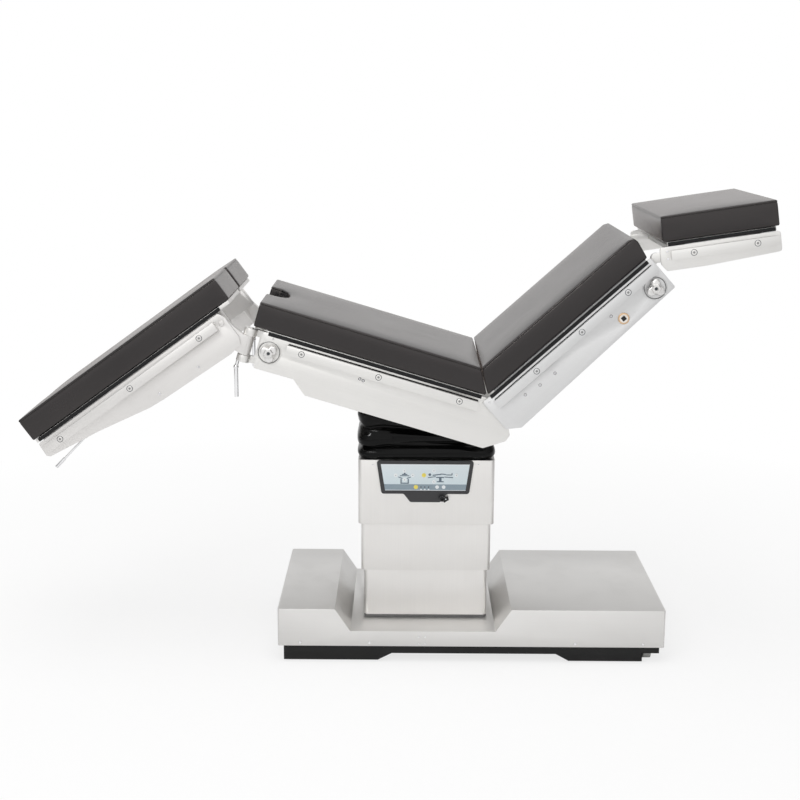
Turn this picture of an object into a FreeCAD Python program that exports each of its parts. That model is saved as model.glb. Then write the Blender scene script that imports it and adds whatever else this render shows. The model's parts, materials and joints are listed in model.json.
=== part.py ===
"""Electro-hydraulic operating table, modelled piece by piece at its real size in millimetres.

The origin is on the floor under the lift column's axis, +X runs to the head end, +Z is up.
The table stands as in its sales pose: seat tipped towards the back, back raised, head level.
Each tilting section is drawn flat about its own hinge and then placed at its angle.
"""
import FreeCAD, Part
import Sketcher
import math
import os
import re

doc = FreeCAD.newDocument("operating_table")
sheet = doc.addObject("Spreadsheet::Sheet", "sizes")

SIZES = [
    # Base with its saddle-shaped cover
    ("base_left", 411, "base cover's foot end, from the column axis"),
    ("base_right", 664.5, "base cover's head end, from the column axis"),
    ("base_depth", 539, "base cover, front to back"),
    ("cover_bottom", 47, "lower edge of the base cover"),
    ("cover_top", 154.5, "top of the base cover's two blocks"),
    ("valley_floor", 90.5, "top of the base cover between its blocks"),
    ("valley_left_top", 252, "upper end of the left slope"),
    ("valley_left_foot", 209, "lower end of the left slope"),
    ("valley_right_foot", 194, "lower end of the right slope"),
    ("valley_right_top", 237, "upper end of the right slope"),
    ("sheet_wall", 1.5, "thickness of all sheet covers"),
    ("cover_round", 6, "edge radius of the base cover"),
    ("deck_bottom", 48, "underside of the deck plate"),
    ("deck_thick", 6, "deck plate"),
    ("frame_inset", 4.5, "cast base, set back from the cover's long sides"),
    ("left_block_inset", 16, "cast base, set back from the cover's foot end"),
    ("left_block_end", 133, "inner end of the left block"),
    ("left_ramp_end", 94, "top of the left block's ramp"),
    ("arch_top", 25, "underside of the base between its blocks"),
    ("right_ramp_end", 363, "top of the right block's ramp"),
    ("right_block_start", 399, "inner end of the right block"),
    ("right_block_inset", 60.5, "right block, set back from the cover's head end"),
    ("skirt_inset", 13.5, "cast base, set back from the cover's head end"),
    ("skirt_bottom", 29, "underside of the overhang at the head end"),
    ("block_bottom", 5, "underside of the two blocks"),
    # Feet and casters
    ("foot_height", 5, "rubber feet"),
    ("foot_radius", 28, "rubber feet"),
    ("foot_left", 190, "left feet from the column axis"),
    ("foot_right", 480, "right feet from the column axis"),
    ("foot_inset", 64.5, "feet, set back from the cover's long sides"),
    ("caster_left_inset", 66, "left caster pivots, set back from the cover's foot end"),
    ("caster_right_inset", 44.5, "right caster pivots, set back from the cover's head end"),
    ("caster_inset", 51.5, "caster pivots, set back from the cover's long sides"),
    ("wheel_radius", 25, "caster wheel"),
    ("wheel_wide", 22, "caster wheel"),
    ("wheel_lift", 4, "gap under a raised caster"),
    ("caster_trail", 10, "wheel axle behind the pivot"),
    ("axle_radius", 4, "caster axle"),
    ("fork_wide", 35, "caster fork"),
    ("fork_wall", 4, "arm of a caster fork"),
    ("crown_half", 17, "half length of a fork's crown"),
    ("fork_top", 74, "top of the caster fork"),
    ("stem_radius", 5, "caster stem"),
    ("sleeve_radius", 13, "sliding sleeve that lowers a caster"),
    ("sleeve_top", 112, "top of a caster sleeve"),
    ("well_radius", 37.5, "round well above each caster"),
    ("well_top", 87, "roof of a caster well"),
    ("well_wall", 3.5, "wall and roof of a caster well"),
    ("run_gap", 0.05, "radial clearance of every running fit"),
    # Hydraulic unit and batteries inside the right block
    ("tank_start", 270, "oil tank"),
    ("tank_long", 130, "oil tank"),
    ("tank_wide", 160, "oil tank"),
    ("tank_clear", 14, "oil tank below the cover's top"),
    ("motor_radius", 38, "pump motor"),
    ("motor_long", 120, "pump motor"),
    ("motor_side", 28, "pump motor from the middle plane"),
    ("valve_long", 50, "valve block"),
    ("valve_high", 44, "valve block"),
    ("battery_start", 300, "batteries"),
    ("battery_long", 150, "batteries"),
    ("battery_wide", 65, "batteries"),
    ("battery_high", 66, "batteries"),
    ("battery_side", 105, "batteries from the middle plane"),
    # Telescopic column
    ("column_wide", 380, "upper column cover"),
    ("column_deep", 340, "upper column cover"),
    ("column_step", 8, "each cover is this much smaller all round"),
    ("column_round", 12, "corner radius of the column covers"),
    ("upper_bottom", 371, "upper column cover"),
    ("column_top", 556, "top of the column head plate"),
    ("middle_bottom", 234, "middle column cover"),
    ("middle_top", 454, "middle column cover"),
    ("lower_bottom", 98, "lower column cover"),
    ("lower_top", 356, "lower column cover"),
    ("head_plate", 12, "column head plate"),
    ("tube_wide", 180, "outer guide tube"),
    ("tube_wall", 8, "guide tubes"),
    ("tube_gap", 0.3, "between nested guide tubes"),
    ("tube_middle_bottom", 140, "middle guide tube"),
    ("tube_inner_bottom", 228, "inner guide tube"),
    ("carrier_thick", 4, "plate that hangs the middle cover on its tube"),
    ("barrel_radius", 30, "lift cylinder"),
    ("barrel_bore", 22, "lift cylinder"),
    ("barrel_floor", 3, "lift cylinder"),
    ("barrel_top", 371, "lift cylinder"),
    ("gland_thick", 12, "guide at the mouth of the lift cylinder"),
    ("rod_radius", 18, "lift rod"),
    ("piston_bottom", 231, "lift rod"),
    ("piston_thick", 16, "lift rod"),
    # Control panel on the column
    ("panel_high", 95, "panel frame, down from the column's top"),
    ("panel_top_left", 139, "panel frame"),
    ("panel_top_right", 132, "panel frame"),
    ("panel_low_left", 125, "panel frame"),
    ("panel_low_right", 119, "panel frame"),
    ("panel_lip_high", 24, "lip below the panel"),
    ("panel_lip_left", 63, "lip below the panel"),
    ("panel_lip_right", 57, "lip below the panel"),
    ("panel_lip_slope", 18, "how far the lip narrows on each side"),
    ("panel_round", 8, "corner radius of the panel frame"),
    ("panel_thick", 8, "panel frame"),
    ("panel_edge", 10, "frame around the membrane"),
    ("membrane_thick", 1, "keypad membrane"),
    ("key_radius", 5, "round keys"),
    ("key_high", 1, "round keys"),
    ("socket_x", 44, "cable socket from the column axis"),
    ("socket_drop", 12, "cable socket below the panel frame"),
    ("socket_radius", 8, "cable socket"),
    ("socket_bore", 5.5, "cable socket"),
    ("socket_long", 9, "cable socket"),
    # Tilting head of the column
    ("gimbal_rise", 44, "crossing point of both tilt axes, above the column head"),
    ("shaft_radius", 12, "tilt shafts"),
    ("lug_start", 64, "inner face of the tilt lugs"),
    ("lug_thick", 16, "tilt lugs"),
    ("lug_half", 22, "half width of the tilt lugs"),
    ("cross_half", 25, "half of the tilt cross's block"),
    ("bellows_wall", 5, "rubber bellows"),
    ("bellows_split", 7, "fold that stays level, above the tilt cross"),
    ("bellows_half_long", 196, "bellows outer half length"),
    ("bellows_half_deep", 176, "bellows outer half depth"),
    # Seat section, drawn flat about the tilt axis
    ("seat_slope", -16.5, "seat section, in degrees"),
    ("cushion_half", 250, "half width of the cushions"),
    ("cushion_thick", 71, "all cushions"),
    ("cushion_round", 5, "edge radius of the cushions"),
    ("plate_inner", 246, "inner face of the seat, head and leg side plates"),
    ("plate_thick", 6, "side plates"),
    ("board_thick", 10, "boards under the cushions"),
    ("board_half", 242, "half width of the boards"),
    ("seat_cushion_start", -546, "foot end of the seat cushion"),
    ("seat_cushion_bottom", 194, "above the tilt axis"),
    ("notch_half", 75, "half width of the perineal cut-out"),
    ("notch_deep", 62, "perineal cut-out"),
    ("bracket_height", 120, "underside of the tilt bracket's plate"),
    ("beam_bottom", 128, "underside of the seat's cross beams"),
    ("beam_wide", 40, "cross beams"),
    ("hip_beam_start", -505, "beam that carries the leg hinges"),
    ("seat_plate_start", -515, "foot end of the seat's side plates"),
    ("seat_plate_end", 201, "head end of the seat's side plates"),
    ("seat_plate_low", 54, "lower edge of the seat's side plates"),
    ("seat_plate_step", 88, "raised lower edge near the leg hinges"),
    ("rail_high", 25, "accessory rail, standard section"),
    ("rail_thick", 10, "accessory rail, standard section"),
    ("rail_stand", 16, "gap between side plate and rail"),
    ("rail_drop", 29.5, "rail centre below the cushion"),
    ("spacer_radius", 8, "rail spacers"),
    ("seat_rail_start", -442, "seat rail"),
    ("seat_rail_end", 92, "seat rail"),
    # Back section, drawn flat about the back hinge
    ("back_rise", 58.5, "back section above the seat's plane, in degrees"),
    ("back_hinge_x", 118, "back hinge in the seat's frame"),
    ("back_hinge_z", 182, "back hinge in the seat's frame"),
    ("hinge_radius", 8, "back hinge pins"),
    ("side_gap", 1, "between seat and back side plates"),
    ("back_cushion_end", 568, "head end of the back cushion"),
    ("back_cushion_lift", 12, "back cushion above its hinge"),
    ("back_bulge", 9, "rounded head end of the back cushion"),
    ("back_plate_end", 572, "head end of the back's side plates"),
    ("back_plate_low", 93, "depth of the back's side plates at the head end"),
    ("back_plate_deep", 112, "depth of the back's side plates at the hinge"),
    ("back_beam_start", 130, "lower cross beam"),
    ("back_beam_end", 490, "upper cross beam"),
    ("back_beam_high", 28, "cross beams"),
    ("back_rail_start", 12, "back rail"),
    ("back_rail_end", 566, "back rail"),
    ("crank_x", 416, "crank socket in the back's frame"),
    ("crank_z", -67, "crank socket in the back's frame"),
    ("crank_radius", 15, "crank socket's bush"),
    ("crank_square", 11, "crank socket's square hole"),
    # Head section, drawn flat about the head hinge
    ("head_drop", 33.4, "head section below the back's plane, in degrees"),
    ("head_hinge_x", 583, "head hinge in the back's frame"),
    ("head_hinge_z", -3, "head hinge in the back's frame"),
    ("head_pin", 6, "head hinge pins"),
    ("head_lug", 13, "radius of the head hinge lugs"),
    ("head_cushion_start", 21, "head cushion"),
    ("head_cushion_end", 332, "head cushion"),
    ("head_cushion_lift", 37.5, "head cushion above its hinge"),
    ("head_plate_start", 11, "head side plate"),
    ("head_plate_end", 330, "head side plate"),
    ("head_plate_high", 26, "head side plate"),
    ("head_plate_low", 38, "head side plate"),
    ("head_rail_start", 36, "head rail"),
    ("head_rail_end", 320, "head rail"),
    # Leg sections, drawn flat about the pitch hinge
    ("leg_drop", 52.5, "leg sections below the seat's plane, in degrees"),
    ("swivel_x", -549, "leg swivel in the seat's frame"),
    ("swivel_side", 226, "leg swivel from the middle plane"),
    ("swivel_bottom", 111, "leg swivel barrel"),
    ("swivel_top", 166, "leg swivel barrel"),
    ("swivel_radius", 15, "leg swivel barrel"),
    ("swivel_pin", 7, "leg swivel pin"),
    ("swivel_lug", 18, "radius of the lugs that hold the swivel"),
    ("swivel_lug_thick", 19, "lugs that hold the swivel"),
    ("neck_start", 4, "neck of the lugs, inboard of the swivel axis"),
    ("neck_end", 18, "neck of the lugs, inboard of the swivel axis"),
    ("pitch_x", -628, "leg pitch hinge in the seat's frame"),
    ("pitch_z", 178, "leg pitch hinge in the seat's frame"),
    ("pitch_pin", 7, "leg pitch pin"),
    ("pitch_boss", 16, "radius of the swivel arm at the pitch pin"),
    ("arm_outer", 244, "outer face of the swivel arm"),
    ("arm_inner", 222, "inner face of the swivel arm"),
    ("leg_inner", 10, "inner face of the leg cushions"),
    ("leg_cushion_start", 58, "hinge end of the leg cushions"),
    ("leg_cushion_end", 612, "foot end of the leg cushions"),
    ("leg_cushion_lift", 40, "leg cushion above its hinge"),
    ("leg_plate_end", 606, "foot end of the leg side plates"),
    ("leg_rail_start", 13, "leg rail"),
    ("leg_rail_end", 591, "leg rail"),
    ("leg_inner_plate", 16, "inner side plate of a leg"),
    ("leg_beam_high", 20, "cross bars of a leg"),
    ("lever_x", 482, "release lever's pivot from the pitch hinge"),
    ("lever_z", 31, "release lever's pivot below the pitch hinge"),
    ("lever_long", 128, "release lever"),
    ("lever_rod", 3, "radius of the release lever"),
    ("lever_dip", 10, "release lever's slope, in degrees"),
    # Knobs and clamp handles
    ("knob_radius", 28, "lobed knobs"),
    ("knob_high", 22, "lobed knobs"),
    ("knob_hub", 13, "lobed knobs"),
    ("knob_screw", 5, "screw of a knob"),
    ("seat_knob_x", -485, "seat knobs in the seat's frame"),
    ("seat_knob_z", 140, "seat knobs in the seat's frame"),
    ("back_knob_x", 530, "back knobs in the back's frame"),
    ("back_knob_z", -59, "back knobs in the back's frame"),
    ("handle_rod", 5.5, "radius of the clamp handles"),
    ("handle_long", 82, "clamp handles"),
    ("handle_link", 20, "link above a clamp handle"),
    ("handle_offset", 12, "clamp handles from the swivel axis, towards the foot end"),
]

for row, (alias, value, meaning) in enumerate(SIZES, start=1):
    sheet.set(f"A{row}", meaning)
    sheet.set(f"B{row}", str(value))
    sheet.setAlias(f"B{row}", alias)
doc.recompute()

ALIASES = {alias for alias, _, _ in SIZES}
FRONT = -1
REAR = 1
nodes = []


def size(alias):
    """The value of one cell, for placing a finished piece."""
    return float(getattr(sheet, alias))


def cell(text):
    """An expression in which every bare alias points at the spreadsheet."""
    return re.sub(r"[a-z][a-z_]+", lambda word: "sizes." + word[0] if word[0] in ALIASES else word[0], text)


def bind(thing, prop, text):
    """Bind one property to an expression of the named sizes."""
    thing.setExpression(prop, cell(text))


def node(thing, label, placement=None):
    """Register a finished piece under the name of its file."""
    thing.Label = label
    if placement is not None:
        thing.Placement = placement
    nodes.append(thing)
    return thing


# Sketches and pads

def new_body(name):
    return doc.addObject("PartDesign::Body", name + "_body")


def sketch_on(body, role, offset="0"):
    """A sketch on one of the body's own origin planes, moved along the plane's normal."""
    sketch = body.newObject("Sketcher::SketchObject", body.Name + "_sketch")
    plane = [feature for feature in body.Origin.OriginFeatures if feature.Role == role][0]
    sketch.AttachmentSupport = [(plane, "")]
    sketch.MapMode = "FlatFace"
    bind(sketch, "AttachmentOffset.Base.z", offset)
    return sketch


def pin_point(sketch, geometry, place, x, y):
    """Fix one point of the sketch by its two distances from the origin."""
    point = sketch.getPoint(geometry, place)
    for kind, value, text in (("DistanceX", point.x, x), ("DistanceY", point.y, y)):
        constraint = f"{kind}{sketch.ConstraintCount}"
        sketch.addConstraint(_distance(kind, geometry, place, value))
        sketch.renameConstraint(sketch.ConstraintCount - 1, constraint)
        bind(sketch, "Constraints." + constraint, text)


def _distance(kind, geometry, place, value):
    return Sketcher.Constraint(kind, -1, 1, geometry, place, value)


def outline(sketch, corners):
    """A closed straight-sided outline whose corners are pairs of expressions."""
    count = len(corners)
    first = sketch.GeometryCount
    ring = [FreeCAD.Vector(100 * math.cos(2 * math.pi * step / count),
                           100 * math.sin(2 * math.pi * step / count), 0) for step in range(count)]
    for step in range(count):
        sketch.addGeometry(Part.LineSegment(ring[step], ring[(step + 1) % count]))
    for step in range(count):
        following = first + (step + 1) % count
        sketch.addConstraint(Sketcher.Constraint("Coincident", first + step, 2, following, 1))
    for step, (x, y) in enumerate(corners):
        pin_point(sketch, first + step, 1, x, y)


def rectangle(sketch, left, right, low, high):
    outline(sketch, [(left, low), (right, low), (right, high), (left, high)])


def circle(sketch, x, y, radius):
    index = sketch.GeometryCount
    sketch.addGeometry(Part.Circle(FreeCAD.Vector(1, 1, 0), FreeCAD.Vector(0, 0, 1), 10))
    pin_point(sketch, index, 3, x, y)
    name = f"Radius{sketch.ConstraintCount}"
    sketch.addConstraint(Sketcher.Constraint("Radius", index, 10))
    sketch.renameConstraint(sketch.ConstraintCount - 1, name)
    bind(sketch, "Constraints." + name, radius)


def pad(body, sketch, length, middle=False):
    feature = body.newObject("PartDesign::Pad", body.Name + "_pad")
    feature.Profile = sketch
    feature.Midplane = middle
    bind(feature, "Length", length)
    sketch.Visibility = False
    return feature


def pocket(body, sketch, length, middle=False, flip=False):
    feature = body.newObject("PartDesign::Pocket", body.Name + "_pocket")
    feature.Profile = sketch
    feature.Midplane = middle
    feature.Reversed = flip
    bind(feature, "Length", length)
    sketch.Visibility = False
    return feature


def revolve(body, sketch, axis="V_Axis"):
    feature = body.newObject("PartDesign::Revolution", body.Name + "_revolution")
    feature.Profile = sketch
    feature.ReferenceAxis = (sketch, [axis])
    feature.Angle = 360
    sketch.Visibility = False
    return feature


def edges_where(feature, test):
    """Names of the feature's edges that pass a test on their two ends."""
    doc.recompute()
    names = []
    for number, edge in enumerate(feature.Shape.Edges, start=1):
        ends = [vertex.Point for vertex in edge.Vertexes]
        if len(ends) == 2 and test(ends[0], ends[1]):
            names.append(f"Edge{number}")
    return names


def along_y(start, end):
    return abs(start.x - end.x) < 0.01 and abs(start.z - end.z) < 0.01


def along_z(start, end):
    return abs(start.x - end.x) < 0.01 and abs(start.y - end.y) < 0.01


def corner_edges(feature, pick):
    """Upright edges nearest to the column axis (pick is min) or farthest from it (pick is max)."""
    doc.recompute()
    reach = pick(distance for distance in map(upright_distance, feature.Shape.Edges) if distance)
    return lambda start, end: along_z(start, end) and abs(math.hypot(start.x, start.y) - reach) < 0.01


def upright_distance(edge):
    """How far an upright edge is from the column axis, or nothing for any other edge."""
    ends = [vertex.Point for vertex in edge.Vertexes]
    if len(ends) != 2 or not along_z(ends[0], ends[1]):
        return None
    return math.hypot(ends[0].x, ends[0].y)


def round_edges(body, feature, test, radius):
    fillet = body.newObject("PartDesign::Fillet", body.Name + "_fillet")
    fillet.Base = (feature, edges_where(feature, test))
    bind(fillet, "Radius", radius)
    return fillet


# Part primitives and booleans

def box(name, low, high):
    """A box between two corners, each given as three expressions."""
    thing = doc.addObject("Part::Box", name)
    for prop, axis, start, end in zip(("Length", "Width", "Height"), "xyz", low, high):
        bind(thing, prop, f"({end}) - ({start})")
        bind(thing, "Placement.Base." + axis, start)
    return thing


TURN = {"x": FreeCAD.Rotation(FreeCAD.Vector(0, 1, 0), 90),
        "y": FreeCAD.Rotation(FreeCAD.Vector(1, 0, 0), -90),
        "z": FreeCAD.Rotation()}


def rod(name, axis, start, radius, length):
    """A round bar along one axis from a start point of three expressions."""
    thing = doc.addObject("Part::Cylinder", name)
    thing.Placement.Rotation = TURN[axis]
    bind(thing, "Radius", radius)
    bind(thing, "Height", length)
    for letter, text in zip("xyz", start):
        bind(thing, "Placement.Base." + letter, text)
    return thing


def fuse(name, things, refine=True):
    thing = doc.addObject("Part::MultiFuse", name)
    thing.Shapes = things
    thing.Refine = refine
    return thing


def cut(name, base, tool, refine=True):
    thing = doc.addObject("Part::Cut", name)
    thing.Base = base
    thing.Tool = tool
    thing.Refine = refine
    return thing


def group(name, things):
    """Separate solids that share one node."""
    thing = doc.addObject("Part::Compound", name)
    thing.Links = things
    return thing


def mirrored(thing):
    """The same piece on the rear side of the table."""
    other = doc.addObject("Part::Mirroring", thing.Name + "_rear")
    other.Source = thing
    other.Normal = FreeCAD.Vector(0, 1, 0)
    return other


def both_sides(name, thing):
    return group(name, [thing, mirrored(thing)])


# Where the sections stand

def section(parent, x, z, slope):
    """Placement of a section that turns about a hinge at x, z of its parent section."""
    hinge = parent.multVec(FreeCAD.Vector(x, 0, z))
    return FreeCAD.Placement(hinge, FreeCAD.Rotation(FreeCAD.Vector(0, -1, 0), slope))


world = FreeCAD.Placement()
gimbal_height = size("column_top") + size("gimbal_rise")
seat_place = section(world, 0, gimbal_height, size("seat_slope"))
back_slope = size("seat_slope") + size("back_rise")
back_place = section(seat_place, size("back_hinge_x"), size("back_hinge_z"), back_slope)
head_slope = back_slope - size("head_drop")
head_place = section(back_place, size("head_hinge_x"), size("head_hinge_z"), head_slope)
leg_slope = size("seat_slope") + size("leg_drop")
leg_place = section(seat_place, size("pitch_x"), size("pitch_z"), leg_slope)


# Base

def saddle(inset, top_inset):
    """Outline of the saddle-shaped cover, moved inwards by a wall."""
    slope_inset = f"1.8 * ({inset})"
    return [(f"-base_left + {inset}", "cover_bottom"),
            (f"-base_left + {inset}", f"cover_top - {top_inset}"),
            (f"-valley_left_top - {slope_inset} * 0.5", f"cover_top - {top_inset}"),
            (f"-valley_left_foot - {slope_inset} * 0.5", f"valley_floor - {top_inset}"),
            (f"valley_right_foot + {slope_inset} * 0.5", f"valley_floor - {top_inset}"),
            (f"valley_right_top + {slope_inset} * 0.5", f"cover_top - {top_inset}"),
            (f"base_right - {inset}", f"cover_top - {top_inset}"),
            (f"base_right - {inset}", "cover_bottom")]


def base_cover():
    """One folded and welded sheet of stainless steel, open below."""
    body = new_body("base_cover")
    sketch = sketch_on(body, "XZ_Plane")
    outline(sketch, saddle("0", "0"))
    pad(body, sketch, "base_depth", middle=True)
    hollow = sketch_on(body, "XZ_Plane")
    outline(hollow, saddle("sheet_wall", "sheet_wall"))
    shell = pocket(body, hollow, "base_depth - 2 * sheet_wall", middle=True)
    side = size("base_depth") / 2
    inside = round_edges(body, shell, lambda start, end: along_z(start, end) and abs(start.y) < side - 1,
                         "cover_round - sheet_wall")
    round_edges(body, inside, lambda start, end: along_z(start, end) and abs(start.y) > side - 0.01,
                "cover_round")
    opening = sketch_on(body, "XY_Plane", "valley_floor")
    half = "column_wide / 2 - 2 * column_step - 10"
    deep = "column_deep / 2 - 2 * column_step - 10"
    rectangle(opening, f"-({half})", half, f"-({deep})", deep)
    pocket(body, opening, "cover_top - cover_bottom", middle=True)
    return node(body, "base_cover")


def caster_spots():
    """Pivot of each caster: its name and its place as expressions."""
    for end, x in (("left", "-base_left + caster_left_inset"), ("right", "base_right - caster_right_inset")):
        for side, sign in (("front", "-"), ("rear", "")):
            yield f"{side}_{end}", x, f"{sign}(base_depth / 2 - caster_inset)"


def base_frame():
    """Cast base: two blocks and an arch between them, a deck plate and four caster wells."""
    body = new_body("base_frame")
    sketch = sketch_on(body, "XZ_Plane")
    left_end = "-base_left + left_block_inset"
    right_end = "base_right - right_block_inset"
    skirt_end = "base_right - skirt_inset"
    outline(sketch, [(left_end, "deck_bottom"), (left_end, "block_bottom"),
                     ("-left_block_end", "block_bottom"), ("-left_ramp_end", "arch_top"),
                     ("right_ramp_end", "arch_top"), ("right_block_start", "block_bottom"),
                     (right_end, "block_bottom"), (right_end, "skirt_bottom"),
                     (skirt_end, "skirt_bottom"), (skirt_end, "deck_bottom")])
    pad(body, sketch, "base_depth - 2 * frame_inset", middle=True)
    deck = sketch_on(body, "XY_Plane", "deck_bottom")
    rectangle(deck, "-base_left + sheet_wall", "base_right - sheet_wall",
              "-base_depth / 2 + sheet_wall", "base_depth / 2 - sheet_wall")
    deck_pad = pad(body, deck, "deck_thick")
    round_edges(body, deck_pad, lambda start, end: along_z(start, end) and start.z > size("deck_bottom") - 1
                and abs(start.y) > size("base_depth") / 2 - size("frame_inset") + 1, "cover_round - sheet_wall")
    cups = sketch_on(body, "XY_Plane", "deck_bottom")
    wells = sketch_on(body, "XY_Plane", "well_top")
    bores = sketch_on(body, "XY_Plane", "well_top + well_wall")
    for _, x, y in caster_spots():
        circle(cups, x, y, "well_radius + well_wall")
        circle(wells, x, y, "well_radius")
        circle(bores, x, y, "sleeve_radius + run_gap")
    pad(body, cups, "well_top + well_wall - deck_bottom")
    pocket(body, wells, "well_top")
    pocket(body, bores, "2 * well_wall")
    return node(body, "base_frame")


def feet():
    """Four rubber feet pressed under the cast blocks."""
    pads = []
    for end, x in (("left", "-foot_left"), ("right", "foot_right")):
        for side, sign in (("front", "-"), ("rear", "")):
            pads.append(rod(f"foot_{side}_{end}", "z", (x, f"{sign}(base_depth / 2 - foot_inset)", "0"),
                            "foot_radius", "foot_height"))
    return node(group("feet", pads), "rubber_feet")


def caster_sleeves():
    """Four sleeves that push the casters down when the table is to be moved."""
    sleeves = []
    for spot, x, y in caster_spots():
        outer = rod(f"sleeve_{spot}", "z", (x, y, "fork_top"), "sleeve_radius", "sleeve_top - fork_top")
        bore = rod(f"sleeve_bore_{spot}", "z", (x, y, "fork_top - 1"), "stem_radius + run_gap",
                   "sleeve_top - fork_top - well_wall + 1")
        sleeves.append(cut(f"sleeve_cut_{spot}", outer, bore))
    return node(group("sleeves", sleeves), "caster_sleeves")


def caster_fork(spot):
    """Fork with its stem, crown, two arms and axle."""
    body = new_body("caster_fork_" + spot)
    axle = "(wheel_radius + wheel_lift)"
    crown = f"({axle} + wheel_radius + 4)"
    sketch = sketch_on(body, "YZ_Plane")
    outline(sketch, [("-crown_half", "fork_top - 0.3"), ("crown_half", "fork_top - 0.3"),
                     ("crown_half", f"{crown} + 2"),
                     ("-caster_trail + 9", f"{axle} - 3"), ("-caster_trail + 4", f"{axle} - 9"),
                     ("-caster_trail - 4", f"{axle} - 9"), ("-caster_trail - 9", f"{axle} - 3"),
                     ("-crown_half - 2", f"{crown} + 2")])
    pad(body, sketch, "fork_wide", middle=True)
    slot = sketch_on(body, "YZ_Plane")
    rectangle(slot, "-60", "60", "0", crown)
    pocket(body, slot, "fork_wide - 2 * fork_wall", middle=True)
    axle_sketch = sketch_on(body, "YZ_Plane")
    circle(axle_sketch, "-caster_trail", axle, "axle_radius")
    pad(body, axle_sketch, "fork_wide + 2", middle=True)
    stem = sketch_on(body, "XY_Plane", "fork_top - 4")
    circle(stem, "0", "0", "stem_radius")
    pad(body, stem, "sleeve_top - fork_top - well_wall + 3")
    place = FreeCAD.Placement(spot_vector(spot), FreeCAD.Rotation())
    return node(body, "caster_fork_" + spot, place)


def spot_vector(spot):
    """Place of a caster's pivot on the floor."""
    left = -size("base_left") + size("caster_left_inset")
    right = size("base_right") - size("caster_right_inset")
    side = size("base_depth") / 2 - size("caster_inset")
    return FreeCAD.Vector(right if spot.endswith("right") else left, -side if spot.startswith("front") else side, 0)


def caster_wheel(spot):
    """Solid tyre and hub, turned about the axle."""
    body = new_body("caster_wheel_" + spot)
    sketch = sketch_on(body, "YZ_Plane")
    axle = "(wheel_radius + wheel_lift)"
    circle(sketch, "-caster_trail", axle, "wheel_radius")
    circle(sketch, "-caster_trail", axle, "axle_radius + run_gap")
    pad(body, sketch, "wheel_wide", middle=True)
    hub = sketch_on(body, "YZ_Plane")
    circle(hub, "-caster_trail", axle, "axle_radius + 5")
    circle(hub, "-caster_trail", axle, "axle_radius + run_gap")
    pad(body, hub, "fork_wide - 2 * fork_wall - 0.6", middle=True)
    return node(body, "caster_wheel_" + spot, FreeCAD.Placement(spot_vector(spot), FreeCAD.Rotation()))


def power_unit():
    """Oil tank with its pump motor, on the deck inside the right block."""
    deck = "deck_bottom + deck_thick"
    tank_end = "(tank_start + tank_long)"
    tank = box("tank", ("tank_start", "-tank_wide / 2", deck), (tank_end, "tank_wide / 2", "cover_top - tank_clear"))
    motor = rod("motor", "x", (tank_end, "-motor_side", f"{deck} + motor_radius + 2"), "motor_radius", "motor_long")
    valve = box("valve_block", (tank_end, "tank_wide / 4", deck),
                (f"{tank_end} + valve_long", "tank_wide / 2 - 4", f"{deck} + valve_high"))
    foot = box("motor_foot", (f"{tank_end} + motor_radius", "-motor_side - motor_radius / 2", deck),
               (f"{tank_end} + 2 * motor_radius", "-motor_side + motor_radius / 2", f"{deck} + motor_radius / 2"))
    return node(fuse("power", [tank, motor, valve, foot]), "power_unit")


def battery_pack():
    """Two sealed batteries on the deck inside the right block."""
    near, far = "battery_side", "battery_side + battery_wide"
    packs = [box(f"battery_{side}", ("battery_start", low, "deck_bottom + deck_thick"),
                 ("battery_start + battery_long", high, "deck_bottom + deck_thick + battery_high"))
             for side, low, high in (("front", f"-({far})", f"-{near}"), ("rear", near, far))]
    return node(group("batteries", packs), "battery_pack")


# Column

GIMBAL = "(column_top + gimbal_rise)"


def tube(name, wide, deep, corner, low, high, wall):
    """A rounded rectangular tube about the column axis."""
    body = new_body(name)
    outer = sketch_on(body, "XY_Plane", low)
    rectangle(outer, f"-({wide}) / 2", f"({wide}) / 2", f"-({deep}) / 2", f"({deep}) / 2")
    pad(body, outer, f"({high}) - ({low})")
    inner_wide = f"({wide}) / 2 - {wall}"
    inner_deep = f"({deep}) / 2 - {wall}"
    hollow = sketch_on(body, "XY_Plane", high)
    rectangle(hollow, f"-({inner_wide})", inner_wide, f"-({inner_deep})", inner_deep)
    space = pocket(body, hollow, f"({high}) - ({low}) + 1")
    rounded = round_edges(body, space, corner_edges(space, min), f"({corner}) - {wall}")
    round_edges(body, rounded, corner_edges(rounded, max), corner)
    return body


def column_covers():
    """Three telescoping sheet covers."""
    for name, steps, low, high in (("upper", 0, "upper_bottom", "column_top"),
                                   ("middle", 1, "middle_bottom", "middle_top"),
                                   ("lower", 2, "lower_bottom", "lower_top")):
        body = tube("column_cover_" + name, f"column_wide - {2 * steps} * column_step",
                    f"column_deep - {2 * steps} * column_step", "column_round", low, high, "sheet_wall")
        node(body, "column_cover_" + name)


def column_gasket():
    """Dark seal between the lower column cover and the base."""
    body = tube("column_gasket", "column_wide - 4 * column_step", "column_deep - 4 * column_step",
                "column_round", "valley_floor", "lower_bottom", "9")
    return node(body, "column_gasket")


def guide_tubes():
    """Three square steel tubes that slide in one another."""
    step = "(tube_wall + tube_gap)"
    for name, steps, low, high in (("outer", 0, "deck_bottom + deck_thick", "lower_top - 2"),
                                   ("middle", 1, "tube_middle_bottom", "middle_top - 2"),
                                   ("inner", 2, "tube_inner_bottom", "column_top - head_plate")):
        wide = f"tube_wide - {2 * steps} * {step}"
        body = tube("guide_tube_" + name, wide, wide, "tube_wall + 1", low, high, "tube_wall")
        node(body, "guide_tube_" + name)


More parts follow.
